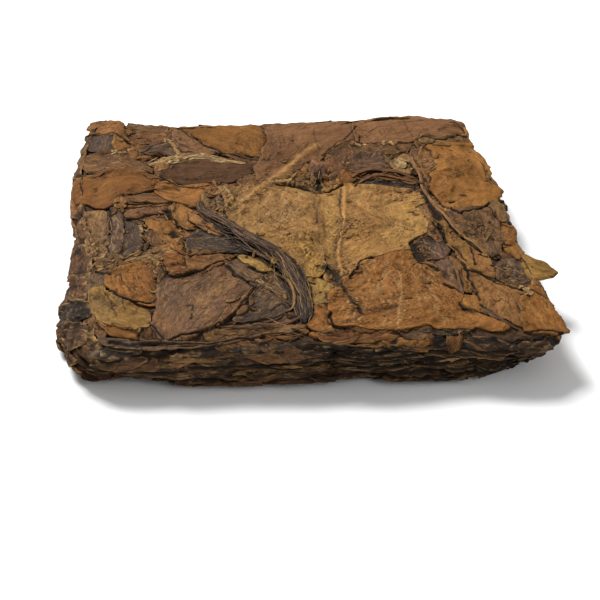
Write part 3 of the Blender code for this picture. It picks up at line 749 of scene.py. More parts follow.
# Colours of the bands on each side; the front's set is the darkest, soot in place of plum, as painted shade
SIDE_TINTS = {
    "right": ("taupe", "umber", "tan", "slate", "plum"),
    "back": ("taupe", "umber", "tan", "slate", "plum"),
    "left": ("dark", "umber", "taupe", "slate", "plum"),
    "front": ("soot", "umber", "taupe", "slate", "dark"),
}


def band_edges(rng, along, height, length, width):
    """The edges of a layer seen edge on: a wavy line along the side, and a lens of its width."""
    v = np.linspace(-1.0, 1.0, 9)
    wave = rng.uniform(-0.35, 0.35) * np.sin(v * rng.uniform(2.0, 5.0) + rng.uniform(0.0, 6.0))
    line = height + wave * width + rng.uniform(-0.03, 0.03) * length * v
    half = 0.5 * width * (1.0 - np.abs(v) ** 3) ** 0.6 * (1.0 + rng.uniform(-0.25, 0.25, 9))
    half[[0, -1]] = 0.0
    line = np.clip(line, 0.5, THICKNESS - 0.4)
    return (np.stack([along + 0.5 * length * v, np.minimum(line + half, THICKNESS)], axis=1),
            np.stack([along + 0.5 * length * v, np.maximum(line - half, 0.25)], axis=1))


def lay_sides(count, seed):
    """Bands all round the slab in random order, each with its lower or upper edge standing out."""
    rng = np.random.default_rng(seed)
    laid = {"right": [], "back": [], "left": [], "front": []}
    for k in range(count):
        size = 1.0 - 0.55 * k / count
        along = rng.uniform(0.0, 4.0 * SIDE)
        left, right = band_edges(rng, along, rng.uniform(0.6, THICKNESS - 0.4),
                                 size * rng.uniform(9.0, 34.0), (0.3 + size) * rng.uniform(0.9, 2.6))
        side = list(laid)[int(along // SIDE)]
        tint = dye(SIDE_TINTS[side][rng.integers(5)]) * rng.uniform(0.3, 1.6)
        # Painted shade: the front side's bands darken towards its right end, where the overhang shades it
        if side == "front":
            tint = tint * (1.0 - 0.78 * ease((along - 362.0) / 20.0))
        loose = 0.4 if side == "left" else 1.0
        laid[side].append(lay_leaf(
            sides, left, right, tint, 500 + k, step=0.38, crumple=rng.uniform(0.12, 0.34), grain=0.6,
            curl=loose * rng.uniform(0.1, 0.6), sheet=0.22, lip=loose * rng.uniform(-0.3, 1.5),
            torn=0.5 * loose, drape=0.5, pale_rim=0.3 if side == "front" else 0.7))
    return laid


side_leaves = lay_sides(520, 31)

# Pieces of the left and front side that stand out in the order in which they lie: colour,
# crumple, lip, then length along the border and height at each point of both edges
SIDE_PIECES = (
    ("left", "taupe", .3, .5, "218,9 226,12.6 236,13 244,12", "218,9 226,7 236,7.6 244,12"),
    ("left", "brown", .25, .5, "238,9.5 246,12.8 256,13 264,11.5", "238,9.5 246,6.5 256,6.6 264,11.5"),
    ("left", "umber", .3, .2, "261,11 268,13 276,13 284,12", "261,11 268,9.4 276,9.6 284,12"),
    ("left", "umber", .4, .3, "272,8.5 279,12.4 288,13 297,12.6", "272,8.5 279,6 288,6.4 297,12.6"),
    ("left", "umber", .4, .4, "286,8 291,11.6 297,12.8 303,12.2", "286,8 290,6 296,7 303,12.2"),
    ("left", "dark", .3, .3, "282,1.2 288,4.5 294,4.8 298,2.4", "282,1.2 288,0.6 294,0.5 298,2.4"),
    ("left", "soot", .25, .2, "293,3 298,9 304,12.6 311,12.9", "293,3 299,2.4 306,5.6 311,12.9"),
    ("left", "dark", .4, .4, "300,2 306,8 313,12 320,12.2", "300,2 307,1 315,4.4 320,12.2"),
    ("left", "dark", .45, .5, "304,0.8 309,4.8 315,7 321,8.5", "304,0.8 310,0.6 317,2.4 321,8.5"),
    ("left", "umber", .3, .3, "301,0.5 305,2.8 309,2.6 312,1", "301,0.5 305,0.4 309,0.4 312,1"),
    ("front", "plum", .25, .7, "324,9.5 328,12.3 333,12 337,10.5", "324,9.5 328,8.9 333,9 337,10.5"),
    ("front", "slate", .5, .4, "326,6.5 333,8.6 340,8.8 344,7", "326,6.5 333,4.5 340,4.6 344,7"),
    ("front", "beige", .3, .7, "339,10.2 343,11.6 348,11 352,9.2", "339,10.2 343,10 348,9.6 352,9.2"),
    ("front", "brown", .3, .5, "341,9.3 344,10.6 346.5,9.6", "341,9.3 343,8 346.5,9.6"),
    ("front", "slate", .45, .4, "347,9.5 353,10.8 360,10.6 364,8.5", "347,9.5 352,7 359,6.6 364,8.5"),
    ("front", "taupe", .6, .5, "357,11 362,13.2 369,13 373,10.5", "357,11 361,9.2 368,8.6 373,10.5"),
    ("front", "brown", .5, .5, "360,9.5 365,11 369,9.5", "360,9.5 364,8 369,9.5"),
    # The soot pieces of the front's right part are near black as painted shade
    ("front", "soot", .3, .5, "375,9.5 384,10.9 394,10.7 400,9", "375,9.5 384,9 393,8.9 400,9"),
    ("front", "soot", .3, .5, "377,7.8 387,8.9 396,8.4", "377,7.8 387,7 396,7.8"),
    ("front", "soot", .35, .5, "378,6 390,7 401,6.4", "378,6 390,5 401,6.4"),
    ("front", "dark", .25, .6, "394,12 398,12.8 403,12.6 405,12", "394,12 398,11.3 402,11.4 405,12"),
    ("front", "soot", .35, .4, "398,9.5 404,10.6 411,10.2 414,9", "398,9.5 404,8.3 411,8 414,9"),
    ("front", (58, 45, 36), .6, .4, "407,11.5 411,13.3 417,13.2 421,11", "407,11.5 411,9.6 417,9.4 421,11"),
    ("front", "dark", .35, .5, "411,8.2 415,9.2 419.5,8.4", "411,8.2 415,7 419.5,8.4"),
    ("front", "straw", .2, .3, "402,7.4 405,8.3 407.5,8.4", "402,7.4 405,7 407.5,8.4"),
    ("front", "straw", .2, .3, "366,7.6 369,7.9 371.5,7.2", "366,7.6 369,7 371.5,7.2"),
    ("right", "brown", .3, 1.0, "0.5,8 5,12 10,12.6 16,12.4", "0.5,8 5,5 10,5.5 16,12.4"),
    ("front", "dark", .3, .4, "420,8.5 425,11 429,11.5 431.6,9", "420,8.5 425,7.8 429,8 431.6,9"),
)


def spots(text):
    """Points from text: numbers with commas between, points parted by spaces."""
    return np.array([point.split(",") for point in text.split()], float)


for k, (side, tint, crumple, lip, upper, lower) in enumerate(SIDE_PIECES):
    side_leaves[side].append(lay_leaf(
        sides, spots(upper), spots(lower), dye(tint), 60 + k, crumple=0.8 * crumple, lip=1.2 * lip,
        curl=0.5, drape=0.7, grain=0.7, pale_rim=0.7))


def hatching(rng, middle, reach, count, heading, length):
    """Paths of fine lines scattered over an oval, all near one heading, each bowed a little. A
    heading given as a point makes the lines fan out from it."""
    paths = []
    for _ in range(count):
        centre = middle + rng.uniform(-1.0, 1.0, 2) * reach
        toward = centre - heading if len(heading) == 2 else None
        turn = math.radians(heading[0]) if toward is None else math.atan2(toward[1], toward[0])
        turn = turn + rng.normal(0.0, 0.16)
        ahead = np.array([math.cos(turn), math.sin(turn)])
        half = 0.5 * length * rng.uniform(0.4, 1.2)
        bow = rng.uniform(-0.12, 0.12) * length * np.array([-ahead[1], ahead[0]])
        paths.append(np.array([centre - ahead * half, centre + bow, centre + ahead * half]))
    return paths


def draw_marks(leaves, marks):
    """Splits, veins and stains drawn on leaves: near each line, made a little crooked and under
    a bell of the distance, the leaf rises or sinks and takes the mark's colour; where it sinks,
    the hollow mask adds painted shade."""
    for leaf in leaves:
        a, b = leaf["a"], leaf["b"]
        crook_a, crook_b = (0.28 * rough(a, b, 2.4, 2, seed) for seed in (5, 6))
        for path, half, rise, tint, strength in marks:
            low, high = path.min(axis=0) - 3.0 * half, path.max(axis=0) + 3.0 * half
            if a.min() > high[0] or a.max() < low[0] or b.min() > high[1] or b.max() < low[1]:
                continue
            part = (a > low[0]) & (a < high[0]) & (b > low[1]) & (b < high[1])
            off, run = beside((a + crook_a)[part], (b + crook_b)[part], path)
            near = np.exp(-(off / half) ** 2) * np.clip(1.0 + 0.5 * ripple(run, 0.0 * run, 3.0, 9), 0.3, 1.0)
            share = (strength * near)[..., None]
            leaf["height"][part] += rise * near
            leaf["colour"][part] = leaf["colour"][part] * (1.0 - share) + tint * share
            # Painted shade in the sunk marks
            if rise < -0.03:
                leaf["hollow"][part] = np.maximum(leaf["hollow"][part], strength * near)


# Long gaps between the layers of the front side, painted near black as the shade in them, and their pale
# rims
SIDE_GAPS = (
    "325,13 330,12.6 335,11.8 342,12.2 350,11.9 358,12.8 363,13", "377,11.6 384,11 395,12.2 404,12",
    "325.3,11 328.2,10.9 331.2,11.9", "372,9.6 380,10.2 391,9.4 402,10.3", "346,7.6 356,7.2 368,8.2",
    "330,6.4 338,6 345,6.6", "405,11 412,10.4 420,10.9", "384,6.6 394,6.2 405,7",
)
SIDE_RIMS = (
    "340,9.9 343,11.8 345,11.7 346.3,10.2 348.3,9.4 351.6,9.8", "393.6,8.9 394.4,8.2 395.7,5.8",
    "408,12.4 410.5,11.6 413.6,10.6 416,9.6",
)
# Painted shade: the gaps take a near-black colour
side_marks = [(spots(path), 0.32, -0.7, dye((16, 12, 9)), 0.95) for path in SIDE_GAPS]
side_marks += [(spots(path), 0.22, 0.12, dye("tan"), 0.8) for path in SIDE_RIMS]
# Fine scratches all over the front side: how many, length, colour, strength. Their middle and reach
# are places along the border and heights.
SCRATCHED = (60, 6, "soot", 0.8), (50, 3.5, "cream", 0.5), (36, 3, "beige", 0.6)
SCRATCH_MIDDLE, SCRATCH_REACH, SCRATCH_HEADING = np.array([378.0, 7.0]), (54, 6), (2,)
scratch_rng = np.random.default_rng(83)
for count, length, colour, strength in SCRATCHED:
    for path in hatching(scratch_rng, SCRATCH_MIDDLE, SCRATCH_REACH, count, SCRATCH_HEADING, length):
        side_marks.append((path, 0.16, 0.0, dye(colour), strength))
draw_marks(side_leaves["front"], side_marks)
for side, leaves in side_leaves.items():
    write_leaves(f"{side}_side_leaves", sides, leaves, finishes["dark" if side == "front" else "brown"])

# ------------------------------------------------------------------ the leaves of the face
# Whole leaves and torn pieces cover the face like shingles, from gold to slate. Each is a thin
# sheet pressed onto the ones below, creased along its fibres, with rims that curl a little.
SIGHT = np.array([0.248, 1.535])   # back along the line of sight, for each millimetre of height


def over_edge(x, y):
    """How far a point lies outside the border of each side, the largest of the four, and how
    steeply the leaves droop there: little at the back and right, more on the left and front."""
    gaps = [(x * out_x + y * out_y) - SIDE / 2.0 - stand_out(x, y, out_x, out_y)
            for out_x, out_y in ((1, 0), (0, 1), (-1, 0), (0, -1))]
    fall = np.choose(np.argmax(gaps, axis=0), (0.5, 0.35, 1.3, 1.6))
    return np.maximum(np.max(gaps, axis=0), 0.0), fall


def face_level(x, y):
    """The bed under the face leaves, which falls away beyond the border."""
    out, fall = over_edge(x, y)
    return press_height(x, y) - 1.0 + 0.3 * rough(x, y, 2.6, 2, 4) - fall * (np.hypot(out, 0.8) - 0.8)


def face_press(x, y):
    """The height above which the face leaves are pressed back."""
    out, fall = over_edge(x, y)
    return press_height(x, y) + 0.55 - 0.6 * fall * out


face = Ground((-66.0, -66.0), (66.0, 66.0), face_level, face_press,
              lambda x, y, height: np.stack([x, y, height], axis=-1))

FILL_TINTS = "brown", "taupe", "tan", "umber", "rust", "dark"


def lay_fill(count, seed):
    """Broken leaves over the whole bed, which show wherever the leaves above leave a gap."""
    rng = np.random.default_rng(seed)
    laid = []
    for k in range(count):
        centre = rng.uniform(-52.0, 52.0, 2)
        edges = leaf_form(rng, centre, rng.uniform(9.0, 24.0), rng.uniform(4.0, 10.0),
                          rng.uniform(0.0, 2.0 * math.pi))
        edges = [np.clip(edge, -54.5, 54.5) + rng.uniform(-0.2, 0.2, edge.shape) for edge in edges]
        laid.append(lay_leaf(face, *edges, dye(FILL_TINTS[rng.integers(6)]), 1000 + k, step=0.6,
                             crumple=0.35, curl=0.3, sheet=0.25))
    return laid


# The camera of the photograph, 600 pixels wide, fitted to the four corners of the face: its place,
# its turn, its height and its roll in degrees, and its focal length in pixels
CAMERA_PLACE = np.array([-49.820, -310.557, 190.531])
CAMERA_TURN, CAMERA_RISE, CAMERA_ROLL = np.radians([-9.192, 32.736, 4.1])
FOCAL_PIXELS, HALF_PICTURE = 1420.0, 300.0
CAMERA_BACK = np.array([math.sin(CAMERA_TURN) * math.cos(CAMERA_RISE),
                        -math.cos(CAMERA_TURN) * math.cos(CAMERA_RISE), math.sin(CAMERA_RISE)])
LEVEL_RIGHT = np.cross(-CAMERA_BACK, (0.0, 0.0, 1.0)) / math.cos(CAMERA_RISE)
LEVEL_UP = np.cross(CAMERA_BACK, LEVEL_RIGHT)
CAMERA_RIGHT = math.cos(CAMERA_ROLL) * LEVEL_RIGHT + math.sin(CAMERA_ROLL) * LEVEL_UP
CAMERA_UP = math.cos(CAMERA_ROLL) * LEVEL_UP - math.sin(CAMERA_ROLL) * LEVEL_RIGHT
# Parts of the picture in which points were read: pixel of the upper left corner, enlargement.
# Letter p is the whole picture.
ENLARGED = 8.824
WINDOWS = {"a": (95, 225, ENLARGED), "b": (65, 110, ENLARGED), "c": (225, 110, ENLARGED),
           "d": (380, 105, ENLARGED), "e": (185, 180, ENLARGED), "f": (330, 235, ENLARGED),
           "g": (425, 230, ENLARGED), "p": (0, 0, 1.0)}


def face_point(window, across, down):
    """A point read in a window of the picture, in tenths of a millimetre on the pressed face: the
    ray from the camera through its pixel, followed down to the height of the face."""
    left, top, scale = WINDOWS[window]
    ray = ((left + across / scale - HALF_PICTURE) * CAMERA_RIGHT
           - (top + down / scale - HALF_PICTURE) * CAMERA_UP) / FOCAL_PIXELS - CAMERA_BACK
    reach = (THICKNESS - CAMERA_PLACE[2]) / ray[2]
    return np.round((CAMERA_PLACE + reach * ray)[:2], 1)


def face_points(text):
    """Points of the face from text. They are millimetres, or, after a window's letter, were read
    in that window; after an m they are millimetres again."""
    window, points = "m", []
    for word in text.split():
        if word.isalpha():
            window = word
            continue
        point = np.array(word.split(","), float)
        points.append(point if window == "m" else face_point(window, *point))
    return np.array(points)


# Leaves and torn pieces, lowest first: colour, crumple, curl, left edge, right edge. The edges
# run from base to tip, drawn as they look from the front at the height of the pressed face.
FACE_LEAVES = (
    # back left
    ("taupe", .3, .3, "-44,52 -43,55 -38,54.5 -33,53.5", "-44,52 -40,49 -36,48.5 -33,50 -32,53"),
    ((80, 54, 38), .3, .3, "-54.5,38 -55,43 -54.5,46 -52.6,48.5",
     "-54.5,38 -50,37.2 -47.5,38 -47,44.5 -48,48 -52.6,48.5"),
    ((134, 92, 52), .25, .3, "-54.2,46.5 -54.5,52.3 -51.7,56 -48.9,57",
     "-54.2,46.5 -50,47.8 p 123,135 124,126 m -45.8,57 -48.9,57"),
    ((108, 78, 54), .25, .3, "-57.5,30 -57.5,36 -50,38.5 -47,37 -41,31 -37,27",
     "-57.5,30 -55,26 -48,26.5 -42,25 -37,27"),
    ((124, 87, 60), .35, .3, "-43.5,47 -40,49.5 -34,49 -30.5,52 -28.5,48",
     "-43.5,47 -41,43 -35,41.5 -30,43 -26.5,45 -28.5,48"),
    ("ochre", .2, .3, "-46.9,38.5 -47.5,42 -47.1,46 -45.5,48", "-46.9,38.5 -43.5,40.3 -43.8,44 -45.5,48"),
    ((80, 54, 38), .2, .3, "-40.5,36 -40,39.5 -35,42 -31,41 -29.5,36.5", "-40.5,36 -35,34.8 -29.5,36.5"),
    ((90, 62, 42), .3, .3, "-39.5,36.5 p 151,147 167,145 179.5,154",
     "-39.5,36.5 -37,35.2 -34.4,35.2 p 179.5,154"),
    ("mauve", .15, .3, "-31,50 -27,49 -22,42 -19,37.5", "-31,50 -31,43 -27,38 -22,35.5 -19,37.5"),
    ((88, 62, 45), .08, .2, "-36,23.5 -34.5,27 -29.5,31.3 -22,31.5 -12,30.5 -6.5,27.5",
     "-36,23.5 -33,20.3 -30,18.3 -26,17.2 -20,18.5 -16,21.3 -6.5,27.5"),
    # back
    ((126, 87, 46), .07, .2, "-29,53 -17,54 -5.5,54 -3.8,48 -6,40 -7,34.5",
     "-29,53 -24,45 -18.7,38 -13,35.5 -7,34.5"),
    ((124, 90, 66), .07, .15, "-10,20 -10,28 -7,36 -4.5,45 -5,54 4,56 20,59",
     "-10,20 -3,21.5 2,28 8,33 13,40 20,46 21,52 20,59"),
    ("taupe", .1, .2, "17.5,41 20,43.5 28,42.8 36,42.5", "17.5,41 19,36 26,35.5 33,36.5 36,42.5"),
    ("umber", .3, .3, "17.5,26.5 18,33 20,37 26,36.5", "17.5,26.5 22,26 28,28 29,32 26,36.5"),
    ("mauve", .08, .3, "20.5,43.5 20.5,52 22,57 p 380,117 403,114 423,113 429,117.5 460.5,120 466,125",
     "20.5,43.5 28,42.5 35,43 38.5,45.3 41,46.5 46,45.5 50,47.7 53.5,46.5 p 466,125"),
    ("beige", .25, .3, "38,43 40,46.5 46,46.5 53.5,47.5", "38,43 44,41.5 53,41.5 53.5,47.5"),
    ("tan", .4, .3, "36.5,15 35.5,24 36,33 39,42", "36.5,15 39,22 41,30 41.5,38 39,42"),
    ("orange", .3, .3, "51,19 52.5,18.5 p 504.7,189 500,194.6", "51,19 51,15 52.5,11 p 500,194.6"),
    ("mauve", .3, .3, "50,12 53.8,11.9 p 500,199 m 53.6,2 p 507,218", "50,12 49.8,7 50.8,3 p 507,218"),
    ("ochre", .08, .3, "41,2.5 37.5,8 36.3,15 37.5,22 40,28 41,34 40.5,41 47,43",
     "41,2.5 47,5.5 50.5,8 53.8,10 56.3,15.5 53.3,20.5 55.3,27 55.3,33 53.8,38 53.3,42 47,43"),
    # crumpled middle
    ("straw", .5, .4, "-7,19 -5,22 0,23 3,25.5", "-7,19 -2,18.5 2,20 3,25.5"),
    ("tan", .5, .3, "1,14.5 -1,20 2,25 5,24", "1,14.5 4,16 6,20 5,24"),
    ("russet", .45, .4, "5,20 4.5,26 6.5,32", "5,20 8,22 9.5,28 6.5,32"),
    ("russet", .45, .4, "8,21 8,27 11,33 14,31", "8,21 12,22 15,27 14,31"),
    ("rust", .45, .4, "12,19 13,24 17,30 19,29", "12,19 15,19 18,24 19,29"),
    ("beige", .4, .3, "3,13.5 0.5,17 3,20", "3,13.5 6,15 7,18 3,20"),
    ("soot", .3, .2, "18,17 20,21 27,22 33,20", "18,17 24,15.8 31,15.5 33,20"),
    ((84, 56, 36), .4, .3, "14,27 17,31.5 24,32 30,29.5 33.5,24", "14,27 17,25.5 24,26.5 29,25 33.5,24"),
    ("brown", .4, .3, "15,23 20,25.8 27,24.8 34,21", "15,23 21,21.2 28,20.6 34,21"),
    ("straw", .25, .3, "28.5,25 27.3,29 29.3,33 33,36.3", "28.5,25 32,24 33.8,30 33,36.3"),
    ("cream", .2, .3, "29.5,26.5 28.6,29.5 31,33.5", "29.5,26.5 31,27.5 32,31 31,33.5"),
    # left
    ((132, 101, 72), .15, .3, "-52.5,-10 -55.5,-8 -56,0 -55,4.5 -52.5,5.5",
     "-52.5,-10 -49.8,-9 -49.8,0 -50.5,4.5 -52.5,5.5"),
    ("slate", .3, .3, "-47,-18.5 -48,-10 -46.5,-4 -45.5,0.5 -43,0.5",
     "-47,-18.5 -43,-15 -41,-12 -42,-6 -41,-1 -43,0.5"),
    ("beige", .3, .3, "-53,-20 -55.5,-15 -55.3,-9 -52.5,-7", "-53,-20 -49,-19 -48.5,-12 -50,-8 -52.5,-7"),
    ("umber", .3, .3, "-48.5,-18 -49.5,-10 -49.3,0 -48.5,8", "-48.5,-18 -46.5,-14 -46,-5 -46.3,3 -48.5,8"),
    ((124, 83, 45), .08, .3, "-58,8 -58.5,16 -58.3,24 -50,26 -40,25.3 -36,22.5 -32,18.5",
     "-58,8 -55,8 -50,6.6 -47,9.5 -46,13 -39,14.5 -36,16 -32,18.5"),
    ("mauve", .1, .15, "-45.5,2.5 -44,6.2 -38,6.8 -34,4.5", "-45.5,2.5 -44.5,0.8 -39,0.4 -34.2,1 -34,4.5"),
    ("rust", .1, .2, "-45.5,6.9 -45,8.6 -38,8.8 -33,8.8", "-45.5,6.9 -41,7 -36,7.6 -33,8.8"),
    ((110, 79, 56), .12, .2, "-46,10 -46,12.6 -40,13.5 -33,12.5", "-46,10 -40,9.3 -34,9.6 -33,12.5"),
    ("ochre", .2, .3, "-47.5,6 -47.5,10 -46,12.5", "-47.5,6 -45,7 -45,10 -46,12.5"),
    ("orange", .15, .3, "-33,-16 -36,-9.5 -39,-4 -40.3,0.3 -36,1",
     "-33,-16 -31.5,-13 -33.5,-9 -31.8,-5 -33,0.5 -36,1"),
    ("orange", .12, .3, "-37.5,15 -36.5,18.7 -33,20.8 -31,17.8 -25,19 -21.5,18",
     "-37.5,15 -33,9 -30,7.5 -27,6.5 -25.5,10 -24,14 -21.5,18"),
    ("ochre", .1, .3, "-33,-3 -33.8,2 -33.7,6.5 -31,8", "-33,-3 -29.5,-3.5 -28,1 -28.7,5 -31,8"),
    ("beige", .4, .4, "-23,2 -25,7 -25,12 -22,15.5", "-23,2 -20.5,6 -19.5,12 -22,15.5"),
    ((84, 58, 42), .4, .4, "-21,3 -21.5,9 -20,16", "-21,3 -18.3,6 -17.5,12 -20,16"),
    ("tan", .4, .4, "-24,12 -22,16.5 -18,18", "-24,12 -20,12.5 -18,18"),
    ("beige", .3, .3, "-46,-19 -42,-15 -36,-15 -33,-17", "-46,-19 -40,-20 -35,-19.5 -33,-17"),
    ((60, 46, 36), .15, .2, "-31,-14 -30,-9 -27,-5 -23.5,-6 -17,-9.8 -11,-14.5 -7.5,-19",
     "-31,-14 -27,-16 -20,-15.8 -14.5,-16.6 -11,-18 -7.5,-19"),
    ((172, 124, 84), .12, .3, "-29,5 -26.8,3.5 -24.8,-0.5 -22,-4.5 -21.3,-8",
     "-29,5 -28.8,-0.5 -26.5,-3.4 -23.8,-6.5 -21.3,-8"),
    # front left
    ("taupe", .5, .3, "-53.5,-21 -50,-18.5 -46,-19 -44,-21.5", "-53.5,-21 -50,-25.5 -46.5,-24 -44,-21.5"),
    ((104, 76, 50), .45, .3, "-53,-36 -56,-31 -56,-25 -53,-23.5",
     "-53,-36 -51,-33 -50,-28 -50,-24.5 -53,-23.5"),
    ("orange", .25, .4, "-52.5,-46 -49,-46.5 -45,-48.5 -42.5,-48.5",
     "-52.5,-46 -50.5,-50.5 -47,-51.5 -43.5,-52.5 -42.5,-48.5"),
    ("brown", .3, .3, "-42.5,-54 -43,-50 -41,-47", "-42.5,-54 -38.5,-53.5 -39.5,-49 -41,-47"),
    ("olive", .4, .4, "-54.5,-33 -51.5,-31 -49,-34.5 -45.5,-37.5 -41,-42 -40.5,-47.5",
     "-54.5,-33 -54.5,-40 -51.5,-45 -48,-47.5 -44,-48.8 -40.5,-47.5"),
    ((144, 97, 50), .12, .3, "-43,-19.5 -47,-23 -50,-26 -50,-31 -46,-36 -40,-39.5",
     "-43,-19.5 -40,-21 -38.5,-27 -37.7,-33 -38.5,-38 -40,-39.5"),
    ((108, 76, 50), .14, .25, "-33,-53.5 -38.5,-53.5 -40.2,-47 -38.5,-40 -38,-31 -37,-26.5 -30,-24.5 "
                              "-21.5,-19.5", "-33,-53.5 -26,-48 -19.5,-41 -17.5,-35 -14.5,-30 -18.5,-27 "
                                             "-21.5,-19.5"),
    ("rust", .35, .4, "-37,-19.5 -36,-16.5 -32.5,-16 -31,-18.5 -28,-24",
     "-37,-19.5 -36,-24.5 -33,-26 -28,-24"),
    ((126, 90, 58), .35, .4, "-31,-18 -26,-15.8 -22,-17 -21.5,-20.5",
     "-31,-18 -30.5,-23.5 -27,-24.5 -21.5,-20.5"),
    # front, by the dark stem
    ("brown", .4, .3, "-16,-52 -9,-50.5 -5,-50.5", "-16,-52 -10,-54 -5,-50.5"),
    ((104, 78, 58), .45, .4, "-27,-50.5 -20,-48.8 -10,-48.5 -5,-49", "-27,-50.5 -20,-52 -11,-51.5 -5,-49"),
    ("umber", .45, .4, "-26,-48 -20,-46 -12,-45.5 -6,-45", "-26,-48 -20,-49 -12,-48.5 -6,-45"),
    ((72, 54, 40), .3, .3, "-22,-46 -19.5,-40.5 -16,-33 -13.5,-31.5 -9.5,-38",
     "-22,-46 -16,-46.5 -11,-45 -8,-42 -9.5,-38"),
    ("mauve", .3, .4, "a 1060,900 p 229,307 246,292 257,285",
     "a 1060,900 p 223,321 236,311 247,299 257,285"),
    ((94, 70, 50), .35, .4, "-22,-20.5 -18,-19.5 -12,-24 -7,-28 -6,-35",
     "-22,-20.5 -19,-27 -14.5,-30.5 -10.5,-36 -7.5,-40.5 -6,-35"),
    ((176, 144, 84), .1, .2, "-18.5,-17.5 -14,-17.5 -11,-20.5 -9.5,-24",
     "-18.5,-17.5 -16.5,-21.5 -13,-25 -9.5,-24"),
    ((150, 122, 72), .3, .3, "-2.5,-40 -3.5,-33 -1.5,-27.5", "-2.5,-40 1,-38 2.5,-32 -1.5,-27.5"),
    ("orange", .25, .4, "-5.5,-49 -3.5,-44 -2.5,-40.5 0,-40", "-5.5,-49 -3.5,-51 0,-50.5 1,-46 0,-40"),
    ((118, 74, 44), .25, .3, "-4,-52 2,-50.5 9,-51 16,-52.5", "-4,-52 -2,-55 5,-56 12,-55.5 16,-52.5"),
    ("umber", .35, .3, "15,-51.5 18,-50.8 22.9,-51", "15,-51.5 16,-54 19,-55.5 22.5,-55 22.9,-51"),
    ("soot", .2, .3, "20,-51.4 26,-51.3 32,-51.9", "20,-51.4 24,-53 28,-53.4 32,-51.9"),
    ((98, 74, 56), .25, .2, "-53,-52.2 -47,-53 -42,-54.5 -36,-54.3 -30,-55 -24,-54 -16,-52",
     "-53,-52.2 -51,-54.5 p 140,350 m -39,-57.2 -32,-56.8 -24.5,-55.7 -16,-52"),
    # right
    ("plum", .35, .3, "32.5,-37 30,-30 28,-22 28.5,-16.5", "32.5,-37 35,-32 35,-24 33,-19 28.5,-16.5"),
    ("tan", .25, .3, "34.2,-35.5 34.5,-30 34.5,-25 34,-19", "34.2,-35.5 37.3,-33 37.2,-27 36,-21 34,-19"),
    ((76, 54, 44), .25, .3, "28,-21 25.5,-17 25,-12 28,-9.5", "28,-21 32,-20 34.5,-15 33.5,-10 28,-9.5"),
    ("mauve", .12, .3, "33,-12.5 30.5,-8 31,0 31,6 33,9", "33,-12.5 35,-6 35,1 33.8,7 33,9"),
    ("beige", .3, .3, "51.5,-3 50,2 50,7.5 52,9", "51.5,-3 53.7,-1 54,5 52,9"),
    ("orange", .3, .3, "51,-14 49.5,-9 50,-2.5", "51,-14 52.8,-11 53.8,-5 50,-2.5"),
    ((112, 84, 64), .25, .3, "45.5,-21 42,-14 39,-4 37.5,3 41,4.5",
     "45.5,-21 49,-12 50.3,-2 50,6 46,5.5 41,4.5"),
    ((146, 110, 68), .08, .15, "34.6,5 34.6,-3 34.6,-12 36,-17 37,-22 36.6,-25.3 40,-27.5 43.3,-29.5",
     "34.6,5 37,0.5 39.2,-7.5 41.8,-14 43.8,-19 43.6,-24 43.3,-29.5"),
    ((102, 82, 70), .45, .3, "46.5,-33.5 43.8,-30 44.5,-24 46.5,-21",
     "46.5,-33.5 51,-31 51,-25 50,-20.5 46.5,-21"),
    ("ochre", .3, .3, "51,-21 49,-16 50,-12", "51,-21 53.3,-18 52.5,-13 50,-12"),
    ("tan", .14, .35, "45,-51 40,-46.5 36.5,-39 36,-31 37,-26",
     "45,-51 46,-42 48.8,-37 47,-34 42,-30.5 37,-26"),
    ("ochre", .12, .4, "33.5,-36.3 31.3,-40 31.8,-42.5 34.5,-43.6 37.4,-45.8",
     "33.5,-36.3 36,-37 37.1,-40 37.4,-45.8"),
    ("orange", .18, .4, "50,-53.5 44.5,-52.8 45.5,-45 46.5,-40 50,-35.5 52.5,-30.5",
     "50,-53.5 54.8,-53.5 54.5,-46 54,-40 52.8,-34 52.5,-30.5"),
    # front
    ("orange", .1, .35, "3,-49.3 0.3,-48 0.5,-42 2,-35 6,-30 10.5,-23 14.5,-18.5 20,-15.5 25,-14.5",
     "3,-49.3 8,-50.3 15,-51.3 21.5,-48.8 25,-51 33,-50.5 37,-52.3 41.5,-51 38,-46.2 32.3,-42.8 31.6,-40.5 "
     "33,-37 30.5,-30 28,-22 25,-14.5"),
)
PALE_RIMS = {"olive": 0.9, "beige": 0.7, "straw": 0.6, "taupe": 0.5, "gold": 0.4, "brown": 0.4}
FAMILIES = {name: "golden" for name in ("gold", "straw", "olive", "ochre", "orange")}
FAMILIES.update({name: "dark" for name in ("umber", "dark", "slate", "soot", "plum")})


def seen_from_front(points, ground=face, lift=0.3):
    """Points drawn as they look from the front at the height of the pressed face, each moved
    along the line of sight to where that first meets the ground, or passes it most closely; at
    the back and right it stops 3 mm outside the border."""
    heights = np.arange(15.6, 10.0, -0.1)[:, None]
    moved = [points[None, :, k] + SIGHT[k] * (THICKNESS - heights) for k in (0, 1)]
    gap = heights - lift - ground.read(ground.blurred(ground.heights, 2.0), *moved)
    out, fall = over_edge(*moved)
    gap = np.where((out > 3.0) & (fall < 1.0), 99.0, gap)
    close = np.where((heights < 14.0) & (heights > 12.2), gap, 99.5).argmin(axis=0)
    pick = np.where((gap <= 0.0).any(axis=0), (gap <= 0.0).argmax(axis=0), close)
    result = points.copy()
    for k in (0, 1):
        result[:, k] = moved[k][pick, np.arange(len(points))]
    return result


